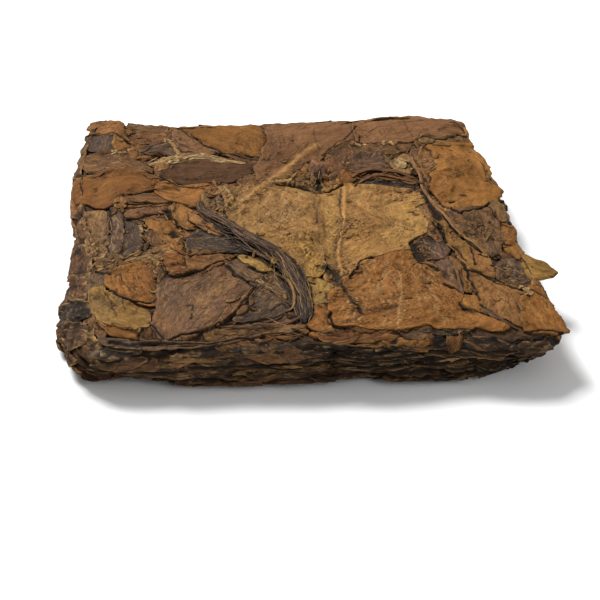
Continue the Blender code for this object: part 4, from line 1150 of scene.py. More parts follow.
def lay_shards(rng, edge, tint, seed):
    """Slivers broken off a leaf, laid along its edge before the next leaf covers them."""
    line = smooth_line(edge, 40, 0.2)
    made = []
    for k in range(rng.integers(0, 3)):
        at = rng.integers(1, 39)
        ahead = line[at + 1] - line[at - 1] if at < 39 else line[at] - line[at - 1]
        heading = math.atan2(ahead[1], ahead[0]) + rng.normal(0.0, 0.35)
        centre = line[at] + rng.normal(0.0, 0.7, 2)
        edges = leaf_form(rng, centre, rng.uniform(2.0, 7.5), rng.uniform(0.6, 1.8), heading)
        made.append(lay_leaf(face, *edges, tint * rng.uniform(0.6, 1.1), seed + k, crumple=0.1,
                             curl=0.15, sheet=0.16, torn=0.9, drape=0.6, pale_rim=0.3))
    return made


DARK_SUM = 0.178  # a mixed colour with less light than this is a dark leaf
face_leaves = {"smooth": [], "golden": [], "brown": [], "dark": []}
fill = lay_fill(150, 41)
shards = []
shard_rng = np.random.default_rng(71)
for k, (tint, crumple, curl, left, right) in enumerate(FACE_LEAVES):
    left, right = seen_from_front(face_points(left)), seen_from_front(face_points(right))
    own = dye(tint) * shard_rng.uniform(0.93, 1.05)
    kind = "smooth" if crumple < 0.1 else FAMILIES.get(tint, "brown" if own.sum() > DARK_SUM else "dark")
    face_leaves[kind].append(
        lay_leaf(face, left, right, own, 100 + k, crumple=0.7 * crumple, curl=0.75 * curl, grow=0.35,
                 step=0.28, pale_rim=PALE_RIMS.get(tint, 0.35)))
    for side, edge in enumerate((left, right)):
        shards += lay_shards(shard_rng, edge, own, 1300 + 8 * k + 4 * side)

# One leaf sticks out of the right side like a tongue, flat, under the leaves of the face
tongue = Ground((44.0, -40.0), (66.0, -4.0), lambda x, y: 10.4 - 0.02 * (x - 50.0) + 0.0 * y,
                lambda x, y: 20.0 + 0.0 * x, face.place)
tongue_leaf = lay_leaf(tongue, spots("48.4,-11.4 52.8,-13.9 56,-16.9 59.2,-20.7 60.6,-23.8"),
                       spots("48.4,-11.4 49.4,-19.4 52.2,-27.4 55.5,-27.2 58.6,-26 60.6,-23.8"),
                       dye("olive") * 1.2,
                       91, crumple=0.12, curl=0.5, torn=0.2, sheet=0.9, pale_rim=0.3)

# The central leaf, the largest, is pale gold. It lies split along its rib, with the rib between
# its two halves and fine side veins rising from it.
CENTRAL_LEAF = (
    ("-1,-28.5 -3,-27 -4.5,-20 -6.5,-15 -13,-9 -18,-3 -19.3,3 -19,10 -20.5,17.5 -15,18",
     "-1,-28.5 2,-24 3,-10 4,0 4.7,10 3,14 0,16.3 -8,17.5 -15,18", "2.6,-26 3.2,-12 4.2,0 4.9,12", -0.75),
    ("5,-30 3.7,-26 3.5,-15 4,-3 5,8 6,15.5 12,18.7 20,18.5",
     "5,-30 10,-23.5 14,-19 20,-16 25,-15 25,-12.5 27,-10 30,-8.5 30.7,-3 31,3 30.7,6 33.3,9.5 "
     "33,13.5 30,16.3 20,18.5", "5.6,-27 6.4,-16 8.2,-7 p 344,218 m 11.6,8 p 345,187", 0.75),
)
central = []
for k, (left, right, rib, lean) in enumerate(CENTRAL_LEAF):
    left, right, rib = (seen_from_front(face_points(line)) for line in (left, right, rib))
    central.append(lay_leaf(face, left, right, dye(((152, 117, 74), (160, 122, 75))[k]), 200 + k,
                            crumple=0.055,
                            curl=0.3 - 0.3 * k, step=0.25, torn=0.4, grow=0.5, rib=rib,
                            veins=(3.6, 0.7, 0.05), sheet=0.24 - 0.16 * k, second=dye((136, 100, 64))))

# Splits between and in the leaves, wide and narrow, drawn like the leaves: sunk, and painted near black as
# the shade in them
WIDE_SPLITS = (
    "a 130,570 200,625 330,660 480,680", "a 620,420 700,455 860,415 960,380 1080,315 1180,300",
    "a 790,250 850,280 960,250 1100,240 1260,235 1480,280",
    "a 1420,540 1340,650 1240,760 1130,850 1060,900 930,945 760,960 650,1010",
    "a 500,880 545,935 590,1000", "a 410,910 400,950 370,980", "a 0,400 70,420 130,430",
    "a 1180,350 1240,430 1330,480 1440,550", "b 470,810 400,840 300,865 180,830",
    "b 480,750 600,735 720,715 800,700", "b 870,880 930,885 940,950 980,970 1000,1030",
    "b 450,210 500,240 560,290 620,300", "b 385,880 m -48.8,0 b 395,1090",
    "c 620,665 700,690 760,710 870,720 940,690 1040,640", "-45,8 -40,8.9 -33,9.2 -29,8.4",
    "-44.5,0.3 -42,1 -40,2.6 -38,3.4 -35.5,3.4", "34.2,-3 34.3,-8 34.5,-12.3",
    "41.5,-17.8 44.5,-19.2 46.5,-19.4",
    "d 450,760 500,820 560,880 640,920 710,950 760,930 870,905 940,880 970,860",
    "d 480,295 560,295 640,280 690,255 770,270", "d 1060,1020 1150,1030 1175,1055", "d 1100,1220 1170,1230",
    "d 280,1200 330,1160 410,1130", "d 560,960 620,1060 700,1130 800,1220 900,1290 960,1320",
    "e 1000,1100 930,1150 830,1200 740,1220 620,1240 500,1250 350,1255",
    "e 1280,1170 1290,1240 1320,1290 1412,1300",
    "f 1010,420 1080,465 1160,500", "f 1170,240 1210,310 1230,380 1290,480 1330,570",
    "25.3,-12 25.2,-17 25.5,-21.5 27,-22.5 29,-25.5", "f 1340,610 1420,690 1500,740",
    "f 1150,600 1180,640 1260,650 1340,680 1400,700", "g 380,350 470,370 560,420 640,450 700,470 870,530",
    "-9,-50 -5,-53 -2,-58", "f 170,380 230,300 280,210 330,195 380,190",
    "f 740,245 m 26,-21.8 f 860,250 950,300",
    "g 870,900 1000,890 1120,885 1240,900", "-50,-53.2 -43,-55 -36,-54.8 -30,-55.4 -24,-54.4 -15.4,-52.5",
)
NARROW_SPLITS = (
    "a 590,290 610,350 630,400", "a 1430,530 1330,590 1240,650", "-31.8,-39 -30.4,-38.7 -30.8,-41.2",
    "a 850,770 850,820", "a 240,300 300,270 370,240", "a 0,215 60,160 120,140",
    "b 195,540 290,525 380,520", "b 690,565 760,590 870,605 930,630 980,655", "b 770,660 850,645 920,640",
    "b 540,830 700,825 830,815 950,815 1080,822 1160,850", "b 560,860 650,850 720,840",
    "b 560,965 630,960 700,935 770,915 850,910", "b 780,955 830,965",
    "b 1130,985 1200,1015 1300,1050 1400,1105",
    "b 830,580 930,630 1000,660 1130,675 1260,655 1400,625 1470,630", "b 940,315 980,350 1010,390",
    "b 1030,165 1090,215 1200,280 1380,365", "b 560,230 680,190 840,185", "b 640,250 700,250 760,265",
    "c 860,390 920,340 1000,280 1100,210 1160,130", "c 1140,190 1190,230 1190,270",
    "c 1150,655 1220,600 1300,550",
    "d 180,330 260,325 330,300 400,280 450,290", "d 285,430 290,520 320,600 350,650",
    "d 370,380 400,350 450,330",
    "d 770,490 800,465", "d 920,670 960,660", "d 960,880 1000,940 1040,995", "d 760,1065 830,1080 920,1050",
    "d 330,885 380,860", "d 520,1040 560,1110 590,1200", "d 640,1240 700,1290 770,1370",
    "d 800,1250 830,1320 840,1400",
    "e 770,1140 850,1080 910,1120", "e 1070,1295 1150,1330 1230,1345 1300,1335", "e 540,760 640,790 740,815",
    "f 1110,270 1140,350 1170,430 1180,500", "f 1240,290 1330,320 1420,380 1490,410", "g 620,320 680,330",
    "g 820,260 880,300 920,370 950,420", "g 890,560 930,570", "p 291,232.5 m -5.5,-8.6",
    "49.6,6.4 50.4,2 50.8,-1.8",
)
FINE_LINES = (
    "c 1020,680 1015,800 1010,900 1040,950 1020,1050 990,1170 980,1235", "p 270,237 291,232.5",
    "p 251,196 268,189",
    "c 780,160 790,220 810,290 830,340", "p 404,120 m 36.2,51 p 413,136", "40.2,-14 40,-18.5 39.4,-23",
    "13,8 20,0 27,-6", "-9,1.5 -7.5,-0.5 -6,-2", "22,7.5 25,9.5 29,13.5", "10.5,-1 12,-2.6 11,-4",
    "-4.2,-6 -4.8,-8",
    "25,50 33,55 42,57", "-30.3,-31 -31.5,-33.2 -34.5,-34 -36,-32.4 -35.5,-30.2 -33,-29",
    "47,-5 45,-9 46.5,-13",
    "-50.5,-33 -49,-38 -48,-43", "-46.5,-36.5 -46,-40.5", "44.5,-23 47,-24.5 50,-24",
    "44,-27 47,-29 50.5,-28",
    "-31,47 -30,43 -26,39", "-23.5,9 -21.5,12.5 -19,15", "-22.5,5.5 -20.3,9.5 -18.5,13.5",
    "-20.5,1.5 -19.3,5 -18,8",
)
RIB_LINES = ("19.8,-25 19.3,-33 17,-41 15.2,-50.6", "6.2,-18 7.7,-11 9,-5 p 344,218 m 11,6",
             "-21,4 -19.3,7 -18,10.5", "-44,-18.5 -42.5,-17 -40.5,-17.3 -39,-16.2",
             "-41,-19 -39.5,-18.2 -38,-20 -37.6,-23",
             "-54,-16 -52.5,-13.5 -51.5,-11", "-55,-13 -53.8,-14.5 -53.6,-17", "-51,-17 -50.2,-14 -50.6,-11",
             "-41.8,-2.5 -40.6,-4 -41.6,-6 -40.2,-8 -41,-10", "44.2,-24 46,-26 48.6,-25 50,-27.5",
             "44.6,-28.5 46.6,-27.4 49,-28.6", "45.5,-31.5 47.5,-30.4 49.8,-31.2",
             "28.6,-9.5 29.2,-11.5 30.4,-12.4",
             "30,-15 31.5,-17 31.8,-19.5", "27.6,-12.5 29,-14", "-9.6,-15.6 -8.4,-16.6 -7.6,-18.6",
             "-14.5,-27.5 -13,-31 -11,-34",
             "-31.8,-5.4 -31.4,-9 -30.4,-14", "-16,-25.5 -14,-27.8", "-49,-12 -50,-15 -52,-18")


# Fibres and scratches of single leaves: middle, reach, how many, heading or the point they fan out
# from, length, colour, strength
HATCHED = (
    ((-9, 6), (9, 10), 60, (62,), 5, "umber", 0.55), ((-9, 6), (9, 10), 46, (64,), 4, "cream", 0.5),
    ((-9, 5), (8, 9), 22, (-38,), 3.5, "umber", 0.5), ((-6, -6), (5, 5), 16, (22,), 5, "brown", 0.45),
    ((-1, -17), (3, 8), 14, (96,), 5, "brown", 0.3), ((20, 2), (9, 13), 34, (50,), 6, "brown", 0.4),
    ((20, 2), (9, 13), 20, (54,), 5, "cream", 0.3), ((7, 0), (1.8, 14), 12, (82,), 7, "brown", 0.35),
    ((16, -34), (13, 14), 120, (22, -14), 4, "cream", 0.5),
    ((16, -32), (12, 14), 100, (22, -14), 4, "russet", 0.55),
    ((-29, -38), (8, 10), 56, (52,), 4, "straw", 0.55), ((-29, -38), (8, 10), 50, (56,), 4, "umber", 0.65),
    ((-44, -30), (5, 8), 30, (18,), 4, "umber", 0.5), ((-47, -42), (5, 6), 18, (-52,), 3, "brown", 0.45),
    ((41, -38), (4.5, 9), 40, (62,), 4, "umber", 0.6), ((41, -38), (4.5, 9), 30, (60,), 4, "straw", 0.5),
    ((49.5, -45), (3, 7), 14, (82,), 5, "russet", 0.3), ((45, -5), (5, 10), 44, (68,), 3, "dark", 0.55),
    ((45, -5), (5, 10), 40, (70,), 3, "beige", 0.5), ((-12, -29), (5, 6), 40, (-54,), 3, "cream", 0.45),
    ((-12, -29), (5, 6), 30, (-56,), 3, "dark", 0.55), ((-15, -40), (5, 5), 34, (36,), 3.5, "beige", 0.45),
    ((-22, -11), (7, 3.5), 34, (-24,), 3.5, "beige", 0.4), ((-44, -10), (3, 8), 24, (80,), 3, "taupe", 0.5),
    ((-50, -4), (5, 12), 44, (88,), 3, "umber", 0.55), ((-50, -6), (5, 12), 40, (86,), 3, "cream", 0.4),
    ((-20.5, 9), (3.5, 7), 40, (64,), 3.5, "umber", 0.6),
    ((-20.5, 9), (3.5, 7), 34, (66,), 3.5, "cream", 0.5),
    ((31, -26), (3, 9), 30, (98,), 4, "dark", 0.5), ((31, -24), (3, 9), 26, (98,), 4, "beige", 0.4),
    ((-40, 5), (6, 5), 20, (6,), 4, "umber", 0.45), ((8, -53), (13, 3), 36, (8,), 4, "straw", 0.35),
    ((-18, -49), (10, 3), 40, (8,), 5, "beige", 0.4), ((-47, 30), (9, 4), 20, (4,), 6, "umber", 0.3),
    ((47, 24), (6, 15), 10, (80,), 4, "rust", 0.3), ((33, -6), (2, 5), 16, (96,), 4, "dark", 0.4),
)
# Broad stains and ribs in the leaves: path, half width, colour, strength
STAINS = (
    ("-1,-13 -0.5,-20 0,-27", 2.6, (178, 140, 74), 0.6), ("-12,-6 -6,-10 -2,-13", 2.6, (164, 128, 72), 0.45),
    ("4.4,13 4.1,6 3.8,0 3.2,-8 2.8,-15 2.6,-20", 0.5, (108, 80, 50), 0.65),
    ("3.9,3 3.7,0 3.3,-3", 0.4, "umber", 0.5),
    ("7.6,14 7,5 6.3,-3 5,-11 3.9,-18", 1.5, (176, 142, 88), 0.6),
    ("12,17 11.6,10 11,3 10,-2", 0.9, (190, 142, 86), 0.6),
    ("10.7,16 10.2,8 9.7,0 8,-6 6.4,-12 5,-18", 0.2, (96, 68, 42), 0.75),
    ("22,-8 26,-2 27,6", 4.5, (176, 141, 86), 0.5),
    ("14,-10 18,-4 15,4", 3.0, (150, 108, 62), 0.4), ("-15,14 -8,10 -5,4", 3.5, (138, 104, 74), 0.5),
    ("6,-30 9,-38", 2.5, (140, 98, 60), 0.35), ("24,-30 27,-38", 3.0, (140, 95, 46), 0.35),
    ("4,-46 12,-48", 2.0, (158, 112, 72), 0.4),
    ("-32,-42 -27,-35 -20,-28", 1.8, (142, 106, 66), 0.5),
    ("-33,-47 -26,-41 -20,-34", 1.4, (110, 76, 60), 0.45),
    ("-35,-32.5 -31.5,-31.5", 2.2, (104, 82, 64), 0.5), ("-38,-44 -36,-48", 3.0, (134, 94, 58), 0.4),
    ("-38.5,-24 -38.5,-32", 1.5, (110, 84, 58), 0.5), ("-47,-22 -49,-26", 2.0, (112, 86, 58), 0.4),
    ("-52.5,-36 -50.5,-41", 2.0, (104, 88, 64), 0.55),
    ("-52,10 -50,20", 3.0, (134, 92, 46), 0.4), ("-41,10 -38,10.5", 1.4, (146, 104, 64), 0.5),
    ("-36,-3 -36,-8", 1.8, (140, 104, 56), 0.5),
    ("-33,-11 -32.3,-14.5", 0.9, (186, 134, 76), 0.6), ("41,-18 42.5,-26", 2.0, (152, 102, 70), 0.6),
    ("30,-16 31,-19", 2.2, (100, 72, 66), 0.5),
    ("26,52 30,48", 4.0, (146, 106, 78), 0.4), ("-4,48 -2,38 -6,30", 2.5, (120, 88, 66), 0.4),
    ("38,33 38.5,28", 1.4, (160, 122, 96), 0.5),
    ("44,6 43,-2", 2.2, (94, 74, 60), 0.5), ("46,-13 45,-17", 1.4, (120, 98, 86), 0.5),
    ("50,-4 50.5,-10", 1.2, (150, 112, 86), 0.5),
)
mark_rng = np.random.default_rng(81)
marks = [(path, half, rise, tint, strength) for paths, half, rise, tint, strength in (
    # Painted shade: the splits take near-black colours
    (WIDE_SPLITS, 0.26, -0.6, (24, 14, 10), 0.97), (NARROW_SPLITS, 0.17, -0.35, (30, 18, 13), 0.92),
    (FINE_LINES, 0.15, -0.05, "umber", 0.6), (RIB_LINES, 0.16, 0.1, "cream", 0.6),
    # the rib of the big mauve leaf, the painted shadow in the gap beside the twig, the bruise, and a hole
    # and four short cracks painted near black as shade
    (("p 248,197 265,183 288.5,166 302,153 318,144",), 0.75, 0.22, (176, 136, 90), 0.9),
    (("p 424,191 432,207 439,218",), 0.7, -0.4, (54, 47, 30), 0.95),
    (("2.7,-23.5 3.6,-27 4.6,-31",), 1.0, -0.04, (58, 54, 46), 0.85),
    (("4.6,-31 6.3,-37.5 8,-43.5",), 0.55, -0.04, (74, 56, 42), 0.8),
    (("-33.8,-6.2 -33.3,-7.8",), 0.8, -0.5, (30, 18, 16), 0.95),
    (("-34.6,4.8 -34,2.4 -33.8,0.8",), 0.6, -0.4, (40, 22, 20), 0.9),
    (("26.2,-13.5 26,-17.5 26.5,-20.5",), 0.8, -0.4, (34, 24, 22), 0.85),
    (("6,15.5 6.2,19 6.6,25",), 0.7, -0.4, (40, 28, 22), 0.85),
    (("1,16.8 3,15.4",), 0.7, -0.3, (44, 30, 22), 0.8),
) for path in paths]
marks = [(face_points(path), half, rise, dye(tint), strength) for path, half, rise, tint, strength in marks]
marks += [(spots(path), half, 0.0, dye(tint), strength) for path, half, tint, strength in STAINS]
for middle, reach, count, heading, length, tint, strength in HATCHED:
    for path in hatching(mark_rng, np.array(middle), np.array(reach), count, heading, length):
        marks.append((path, 0.13, 0.02 if tint in ("cream", "straw", "beige") else -0.02, dye(tint),
                      strength))
marks.sort(key=lambda mark: -mark[1])
marks = [(seen_from_front(path), *rest) for path, *rest in marks]
for leaves in (fill, shards, central, *face_leaves.values()):
    draw_marks(leaves, marks)

# ------------------------------------------------------------------ stems, ribs and twigs
# A thick dark stem, fibrous and bent in an S, lies across the left half; a pale twig runs down
# the right. Both are half pressed into the leaves, and loose fibres lie beside the stem.


def lay_stem(ground, path, tint, seed, flat=0.55, ribs=5, groove=0.16, sink=0.1, step=0.4, points=14):
    """A stem as a flat oval carried along its path, which gives x, y and width. Its radius is
    grooved by a sine of the angle that drifts along the stem, and its ends run to a point."""
    rows = max(6, int(edge_length(path) / step))
    line = smooth_line(path, rows)
    s = np.linspace(0.0, edge_length(line), rows)[:, None]
    ahead = np.gradient(line[:, :2], axis=0)
    side = np.stack([ahead[:, 1], -ahead[:, 0]], axis=1) / np.hypot(*ahead.T)[:, None]
    angle = np.linspace(0.0, 2.0 * math.pi, points, endpoint=False)[None]
    taper = np.minimum(1.0, np.sqrt(np.clip(np.minimum(s, s[-1] - s) / 1.5, 0.004, 1.0)))
    grooves = np.sin(ribs * angle + 1.5 * ripple(s, 0.0 * s, 9.0, seed) * 3.0)
    radius = 0.5 * line[:, 2:] * taper * (1.0 + groove * grooves
                                          + 0.12 * rough(s, 3.0 * angle, 2.0, 2, seed + 1))
    a = line[:, :1] + side[:, :1] * radius * np.cos(angle)
    b = line[:, 1:2] + side[:, 1:] * radius * np.cos(angle)
    base = ground.read(ground.heights, line[:, 0], line[:, 1])
    base = np.convolve(np.pad(base, 4, mode="edge"), np.ones(9) / 9.0, mode="valid")[:, None]
    tall = flat * radius * np.sin(angle)
    height = base + (flat * 0.5 * line[:, 2:] - sink) * taper + tall
    ground.raise_to(a, b, height)
    # Painted light and shade on the stem's grooves: paler on their ridges, darker between them
    crest = np.clip(0.5 + 0.35 * grooves + 0.2 * rough(s, 4.0 * angle, 1.5, 2, seed), 0.0, 1.0)
    colour = tint * (1.0 + 0.25 * rough(s, 5.0 * angle, 3.0, 3, seed + 2))[..., None]
    where = np.stack([angle * radius.mean() / 10.0 + 0.0 * s, s / 10.0 + 0.0 * angle], axis=-1)
    return {"a": a, "b": b, "height": height, "colour": colour, "rim": 0.0 * a, "crest": crest,
            "hollow": 0.0 * a, "map": where + seed}


def stem_shell(stem):
    """The closed skin of a stem: bands between its rings and a cap at each end."""
    rows, points = stem["a"].shape
    shell = {key: stem[key].reshape(-1, *stem[key].shape[2:]) for key in stem}
    last = (rows - 1) * points
    shell["faces"] = band_faces(rows, points)
    shell["faces"] += [list(range(points - 1, -1, -1)), list(range(last, last + points))]
    shell["sharp"] = np.zeros(len(shell["faces"]), bool)
    return shell


def stem_path(text):
    """A path from text, x,y,width at each point, moved back along the line of sight."""
    return seen_from_front(spots(text), lift=0.6)


STEMS = (
    ("-25.8,10.5,1 -26,6.5,1.4 -24.6,3,2.2 -21.9,0,2.9 -18.4,-5,3.4 -14.7,-10,3.8 -11,-15,4.2 -8.2,-20,4.5 "
     "-6.6,-25,4.5 -5.3,-31,4 -5,-37.5,3.4 -5.2,-44,2.2 -5.6,-46.5,1.2", (52, 40, 31), 13, 0.34, 46),
    ("34.4,36,.9 34.2,30,1.1 34.8,24,1.2 34.1,16,1 35.4,8,1 36.9,2,.9 38.3,-5,.9 41.2,-12,.8 43.9,-19,.6",
     (136, 102, 66), 3, 0.35, 14),
    ("33.6,-19,.5 34.1,-24,.7 33.9,-30,.7 33.6,-36,.4", (108, 80, 56), 3, 0.35, 12),
    ("15.5,22,.9 18,25,1.3 22,26.6,1.4 27,26,1.4 33.6,22.5,1", "russet", 4, 0.4, 12),
    ("17,19.8,.8 20,22.3,1.1 26,22.8,1.2 33.6,19.5,.8", "russet", 4, 0.4, 12),
    ("37,-41.8,.9 38.6,-45,1.3 41,-48,1.2 43.4,-51,.8", "umber", 3, 0.35, 12),
)
stems = []
for k, (path, tint, ribs, flat, points) in enumerate(STEMS):
    stems.append(lay_stem(face, stem_path(path), dye(tint), 40 + k, ribs=ribs, flat=flat,
                          groove=0.12, points=points))


def strands(path, count, seed, tints, widths, spread, whole=False, flat=0.7):
    """Fibres of a stem or shred: its path, or stretches of it, moved sideways by a slow sine that
    stays within the spread, as a share of the path's width; thin, and crooked."""
    rng = np.random.default_rng(seed)
    line = smooth_line(path, 60)
    made = []
    for k in range(count):
        first = 0 if whole else rng.integers(0, 44)
        part = line[first:60 if whole else first + rng.integers(10, 26):3].copy()
        ahead = np.gradient(part[:, :2], axis=0)
        side = np.stack([ahead[:, 1], -ahead[:, 0]], axis=1) / np.hypot(*ahead.T)[:, None]
        wave = np.sin(np.arange(len(part)) * rng.uniform(0.2, 0.6) + rng.uniform(0.0, 6.0))
        off = rng.uniform(-0.6, 0.6) * spread + 0.4 * spread * wave + rng.uniform(-0.05, 0.05, len(part))
        part[:, :2] += side * (part[:, 2] * off)[:, None]
        part[:, 2] = rng.uniform(*widths)
        made.append(lay_stem(face, part, dye(tints[k % len(tints)]), seed + k, ribs=2, flat=flat,
                             step=0.5, points=8))
    return made


stem_line = stem_path(STEMS[0][0])
stems += strands(stem_line, 60, 71, ("dark", (40, 31, 25), "soot", "slate"), (0.4, 0.8), 0.8, flat=0.4)
stems += strands(stem_line, 90, 571, ("soot", "taupe", "dark", "beige", (40, 31, 25), "umber", "soot"),
                 (0.18, 0.34), 0.9, flat=0.5)
stems += strands(stem_path("-30,-10,3 -24,-10,4 -18,-12.5,3.6 -13,-16,3"), 14, 211,
                 ("umber", "soot", (92, 76, 56)), (0.18, 0.34), 0.8, flat=0.3)

stem_finish = leaf_finish("dry stem", 0.9, 1.1, 1.5, 0.6, 0.5, 0.62, 0.14, 1.0, 0.5,
                          (*dye((150, 126, 96)), 1.0))
write_leaves("stems_and_twigs", face, stems, stem_finish, stem_shell)

# ------------------------------------------------------------------ shreds, straws and crumbs
# Torn shreds, pale straws of leaf rib and crumbs of leaf lie pressed into the face, most of
# them in the hollows and along the cracks.
RIBBONS = (
    # path x,y,width; colour
    ("-38.5,30.3,.8 -34,32.8,2.2 -29.5,34.8,2.6 -25,35.6,2.4 -20,34.2,2 -15.5,32.4,1.6 -12,31,.7",
     (170, 140, 102)),
    ("-29.5,35.5,1.6 -30.3,39,1.6 -31.5,43,1.3 -33.5,46.5,.6", (156, 122, 84)),
    ("-46.5,36.5,.8 -44.5,38,1.3 -42,40.5,1", (166, 138, 106)),
    ("-6,20,1 -3,20.4,1.8 0,19.6,1", (166, 134, 94)),
    ("-10.6,-23,.2 -8.3,-27,.4 -7,-31,.5 -6.8,-36,.5 -7.6,-40,.4 -9.6,-42,.2", "straw"),
    ("3.8,23.5,.5 2.4,20.5,.8 2,18,.4", "beige"), ("5,24,.4 4.4,20.5,.6 4.6,18,.3", "beige"),
    ("44,-12,.3 45.6,-9.5,.6 47.6,-6.6,.3", "straw"),
)


def ribbon(path):
    """The two edges of a strip: its line moved to both sides by half its width."""
    line = smooth_line(path, 12)
    ahead = np.gradient(line[:, :2], axis=0)
    side = np.stack([-ahead[:, 1], ahead[:, 0]], axis=1) / np.hypot(*ahead.T)[:, None]
    half = 0.5 * line[:, 2:] * side
    return line[:, :2] + half, line[:, :2] - half


shreds = []
for k, (path, tint) in enumerate(RIBBONS):
    path = stem_path(path)
    shreds.append(lay_leaf(face, *ribbon(path), dye(tint), 240 + k, crumple=0.05, curl=0.1, sheet=0.14,
                           step=0.2, torn=0.3, drape=0.5))
# Frayed pale shreds at the back left, and frayed strips in the crumpled folds
FRAYS = (
    ("-38.5,30.5,2 -34,33,2.6 -30,34.8,2.8 -26,36,2.4 -21,34.6,2 -16.5,33,1.6 -12,31.2,1",
     60, ("cream", "straw", "cream", (170, 140, 104)), (0.25, 0.6)),
    ("-29.5,35.5,1.6 -30.5,39,1.6 -31.5,43,1.4 -33.5,46,.8", 16, ("cream", "straw", "tan"), (0.25, 0.5)),
    ("-44,34.5,2 -39,34.2,2.4 -33,34.6,2", 8, ("tan", "brown", "straw"), (0.2, 0.4)),
    ("-26,-49.5,4 -16,-48.5,5 -6,-48.5,4", 26, ("umber", "tan", "russet", "dark"), (0.2, 0.4)),
    ("16,28,4 24,28,5 33,23,3", 12, ("russet", "umber", "tan"), (0.2, 0.4)),
    ("-22.5,1.5,2.4 -20.5,8,3 -18.5,15,2", 18, ("umber", "tan", "straw", "brown"), (0.18, 0.34)),
    ("-48.6,-16,2 -48.3,-6,2.4 -48.6,6,2", 16, ("brown", "umber", "straw"), (0.2, 0.4)),
    ("3,18,3 4,22,3 8,27,2", 10, ("umber", "beige", "tan", "dark"), (0.2, 0.4)),
)
frayed = []
for k, (path, count, tints, widths) in enumerate(FRAYS):
    frayed += strands(stem_path(path), count, 900 + 40 * k, tints, widths, 1.0, flat=0.22)

CRUMB_TINTS = "straw", "umber", "brown", "slate", "beige", "rust"


def scatter_crumbs(count, seed):
    """Crumbs 0.7 to 2.5 mm long over the face, each a tiny leaf; more where it is hollow."""
    rng = np.random.default_rng(seed)
    around = face.blurred(face.heights, 3.0)
    made = []
    while len(made) < count:
        centre = rng.uniform(-53.0, 53.0, 2)
        sunk = face.read(around, centre[:1], centre[1:])[0] - face.read(
            face.heights, centre[:1], centre[1:])[0]
        if sunk < rng.uniform(0.05, 0.6):
            continue
        length = rng.uniform(0.8, 2.6)
        edges = leaf_form(rng, centre, length, length * rng.uniform(0.15, 0.45),
                          rng.uniform(0.0, 2.0 * math.pi))
        made.append(lay_leaf(face, *edges, dye(CRUMB_TINTS[rng.integers(6)]), 700 + len(made),
                             crumple=0.06, curl=0.1, sheet=0.16, step=0.35, torn=0.25, drape=0.5))
    return made


crumbs = scatter_crumbs(160, 61)

# Patches of small torn flakes: middle, half width, half height, how many, colours
FLAKED = (
    (-40.4, -6.3, 1.0, 4.0, 22, ("straw", "beige", "dark", "cream")),
    (-50.3, -20.6, 3.6, 2.6, 30, ("taupe", "slate", "straw", "umber")),
    (-38.6, -20.0, 1.8, 3.4, 22, ("beige", "umber", "taupe", "straw")),
    (-52.2, -13.6, 2.4, 3.4, 24, ("beige", "straw", "umber")),
    (-31.2, -9.6, 0.7, 4.4, 14, ("dark", "umber", "straw")),
    (28.6, -16.0, 2.4, 4.4, 24, ("dark", "plum", "soot", "taupe")),
    (47.4, -27.5, 3.2, 4.4, 28, ("slate", "plum", "taupe", "dark")),
    (48.8, -34.8, 1.2, 2.0, 16, ("cream", "dark", "cream")),
    (45.0, -3.0, 4.0, 8.0, 26, ("plum", "umber", "taupe", "dark")),
    (-13.4, -30.4, 2.2, 3.6, 16, ("straw", "taupe", "umber")),
    (-8.6, -18.6, 1.3, 2.6, 18, ("soot", "straw", "slate")),
    (3.4, 21.0, 2.8, 3.4, 26, ("straw", "dark", "beige", "umber")),
    (10.6, 22.4, 2.0, 3.6, 20, ("tan", "umber", "rust")),
    (-20.6, 9.0, 2.6, 6.0, 16, ("tan", "umber", "straw", "dark")),
    (38.2, 30.0, 1.2, 4.0, 10, ("mauve", "beige", "brown")),
    (20.6, 41.7, 2.2, 0.7, 12, ("cream", "straw", "taupe")),
    (29.4, 42.2, 1.8, 0.3, 10, ("cream", "cream", "mauve")),
    (16.0, 30.6, 1.4, 0.6, 8, ("cream", "beige")),
    (-3.5, 20.0, 3.0, 1.2, 20, ("cream", "straw", "beige")),
    (-46.0, 37.4, 2.0, 1.2, 12, ("cream", "umber", "straw")),
    (-18.6, 15.2, 0.5, 0.9, 5, ("cream",)),
)


def scatter_flakes(patches, seed):
    """Small torn flakes laid at random over each patch, most of them along one heading."""
    rng = np.random.default_rng(seed)
    level, made = face.heights.copy(), []
    for x, y, reach_x, reach_y, count, tints in patches:
        heading = rng.uniform(0.9, 2.0)
        for _ in range(count):
            spot = np.array([[x + reach_x * rng.uniform(-1.0, 1.0), y + reach_y * rng.uniform(-1.0, 1.0)]])
            length = rng.uniform(0.7, 2.2)
            edges = leaf_form(rng, seen_from_front(spot)[0], length, length * rng.uniform(0.25, 0.7),
                              heading + rng.normal(0.0, 0.6))
            made.append(lay_leaf(face, *edges, dye(tints[rng.integers(len(tints))]), 1100 + len(made),
                                 crumple=0.03, curl=0.06, sheet=0.07, step=0.26, torn=0.5, drape=0.4,
                                 pale_rim=0.4))
            face.heights = np.minimum(face.heights, level + 0.12)
    return made


flakes = scatter_flakes(FLAKED, 91)
write_leaves("torn_flakes_in_patches", face, flakes, finishes["brown"])
write_leaves("shreds_and_straws", face, shreds, finishes["golden"])
write_leaves("frayed_fibres", face, frayed, stem_finish, stem_shell)
write_leaves("shards_along_the_leaf_edges", face, shards, finishes["brown"])
write_leaves("crumbs_of_leaf", face, crumbs, finishes["brown"])
write_leaves("central_leaf", face, central, finishes["golden"])
write_leaves("tongue_of_the_right_side", tongue, [tongue_leaf], finishes["golden"])
write_leaves("broken_leaves_of_the_face", face, fill, finishes["brown"])
for kind, leaves in face_leaves.items():
    write_leaves(f"{kind}_leaves_of_the_face", face, leaves, finishes[kind])

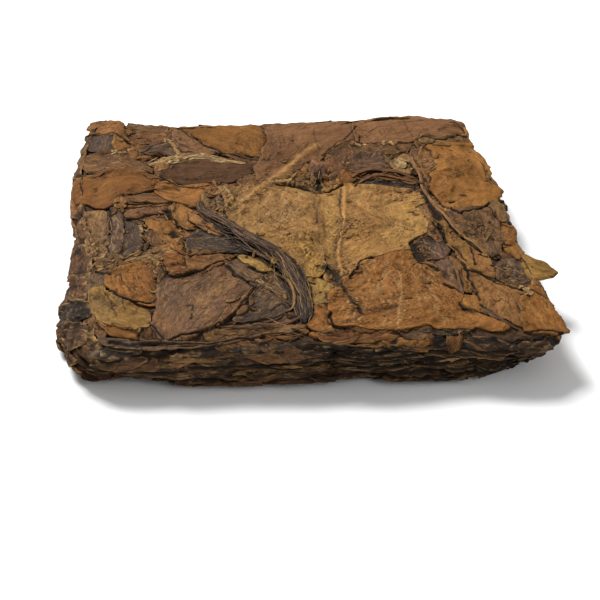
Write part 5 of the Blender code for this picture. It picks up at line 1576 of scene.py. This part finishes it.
# ------------------------------------------------------------------ floor, light and camera
# A pale floor under a wide soft light from above and behind, a weak fill, and a camera that
# looks down from the front left, as in the picture of the cake.
SENSOR = 36.0   # width of the picture on the camera's sensor, in millimetres

floor_mesh = bpy.data.meshes.new("floor")
floor_mesh.from_pydata([(-4.0, -4.0, -0.0002), (4.0, -4.0, -0.0002), (4.0, 4.0, -0.0002),
                        (-4.0, 4.0, -0.0002)], [], [(0, 1, 2, 3)])
floor = bpy.data.objects.new("floor", floor_mesh)
bpy.context.scene.collection.objects.link(floor)
floor_finish = bpy.data.materials.new("pale floor")
floor_finish.use_nodes = True
floor_shader = floor_finish.node_tree.nodes["Principled BSDF"]
floor_shader.inputs["Base Color"].default_value = (0.86, 0.86, 0.86, 1.0)
floor_shader.inputs["Roughness"].default_value = 0.9
floor_mesh.materials.append(floor_finish)


def add_light(name, place, aim, size, power):
    """A square soft light that faces its aim."""
    lamp = bpy.data.lights.new(name, "AREA")
    lamp.size, lamp.energy = size, power
    light = bpy.data.objects.new(name, lamp)
    light.location = place
    direction = Vector(aim) - Vector(place)
    light.rotation_euler = direction.to_track_quat("-Z", "Y").to_euler()
    bpy.context.scene.collection.objects.link(light)


add_light("softbox", (-0.95, 1.3, 1.75), (0.0, 0.0, 0.0), 1.0, 92.0)
add_light("fill", (0.7, -0.9, 0.8), (0.0, 0.0, 0.0), 0.6, 4.0)

world = bpy.data.worlds.new("studio")
world.use_nodes = True
world.node_tree.nodes["Background"].inputs["Color"].default_value = (1.0, 1.0, 1.0, 1.0)
world.node_tree.nodes["Background"].inputs["Strength"].default_value = 0.4
bpy.context.scene.world = world

camera_data = bpy.data.cameras.new("camera")
camera_data.lens = FOCAL_PIXELS * SENSOR / (2.0 * HALF_PICTURE)
camera_data.sensor_width = SENSOR
camera_data.clip_start = 0.01
camera = bpy.data.objects.new("camera", camera_data)
turned = Matrix((CAMERA_RIGHT, CAMERA_UP, CAMERA_BACK)).transposed().to_4x4()
camera.matrix_world = Matrix.Translation((CAMERA_PLACE + MIDDLE) * MM) @ turned
bpy.context.scene.collection.objects.link(camera)
bpy.context.scene.camera = camera
bpy.context.scene.view_settings.view_transform = "Standard"
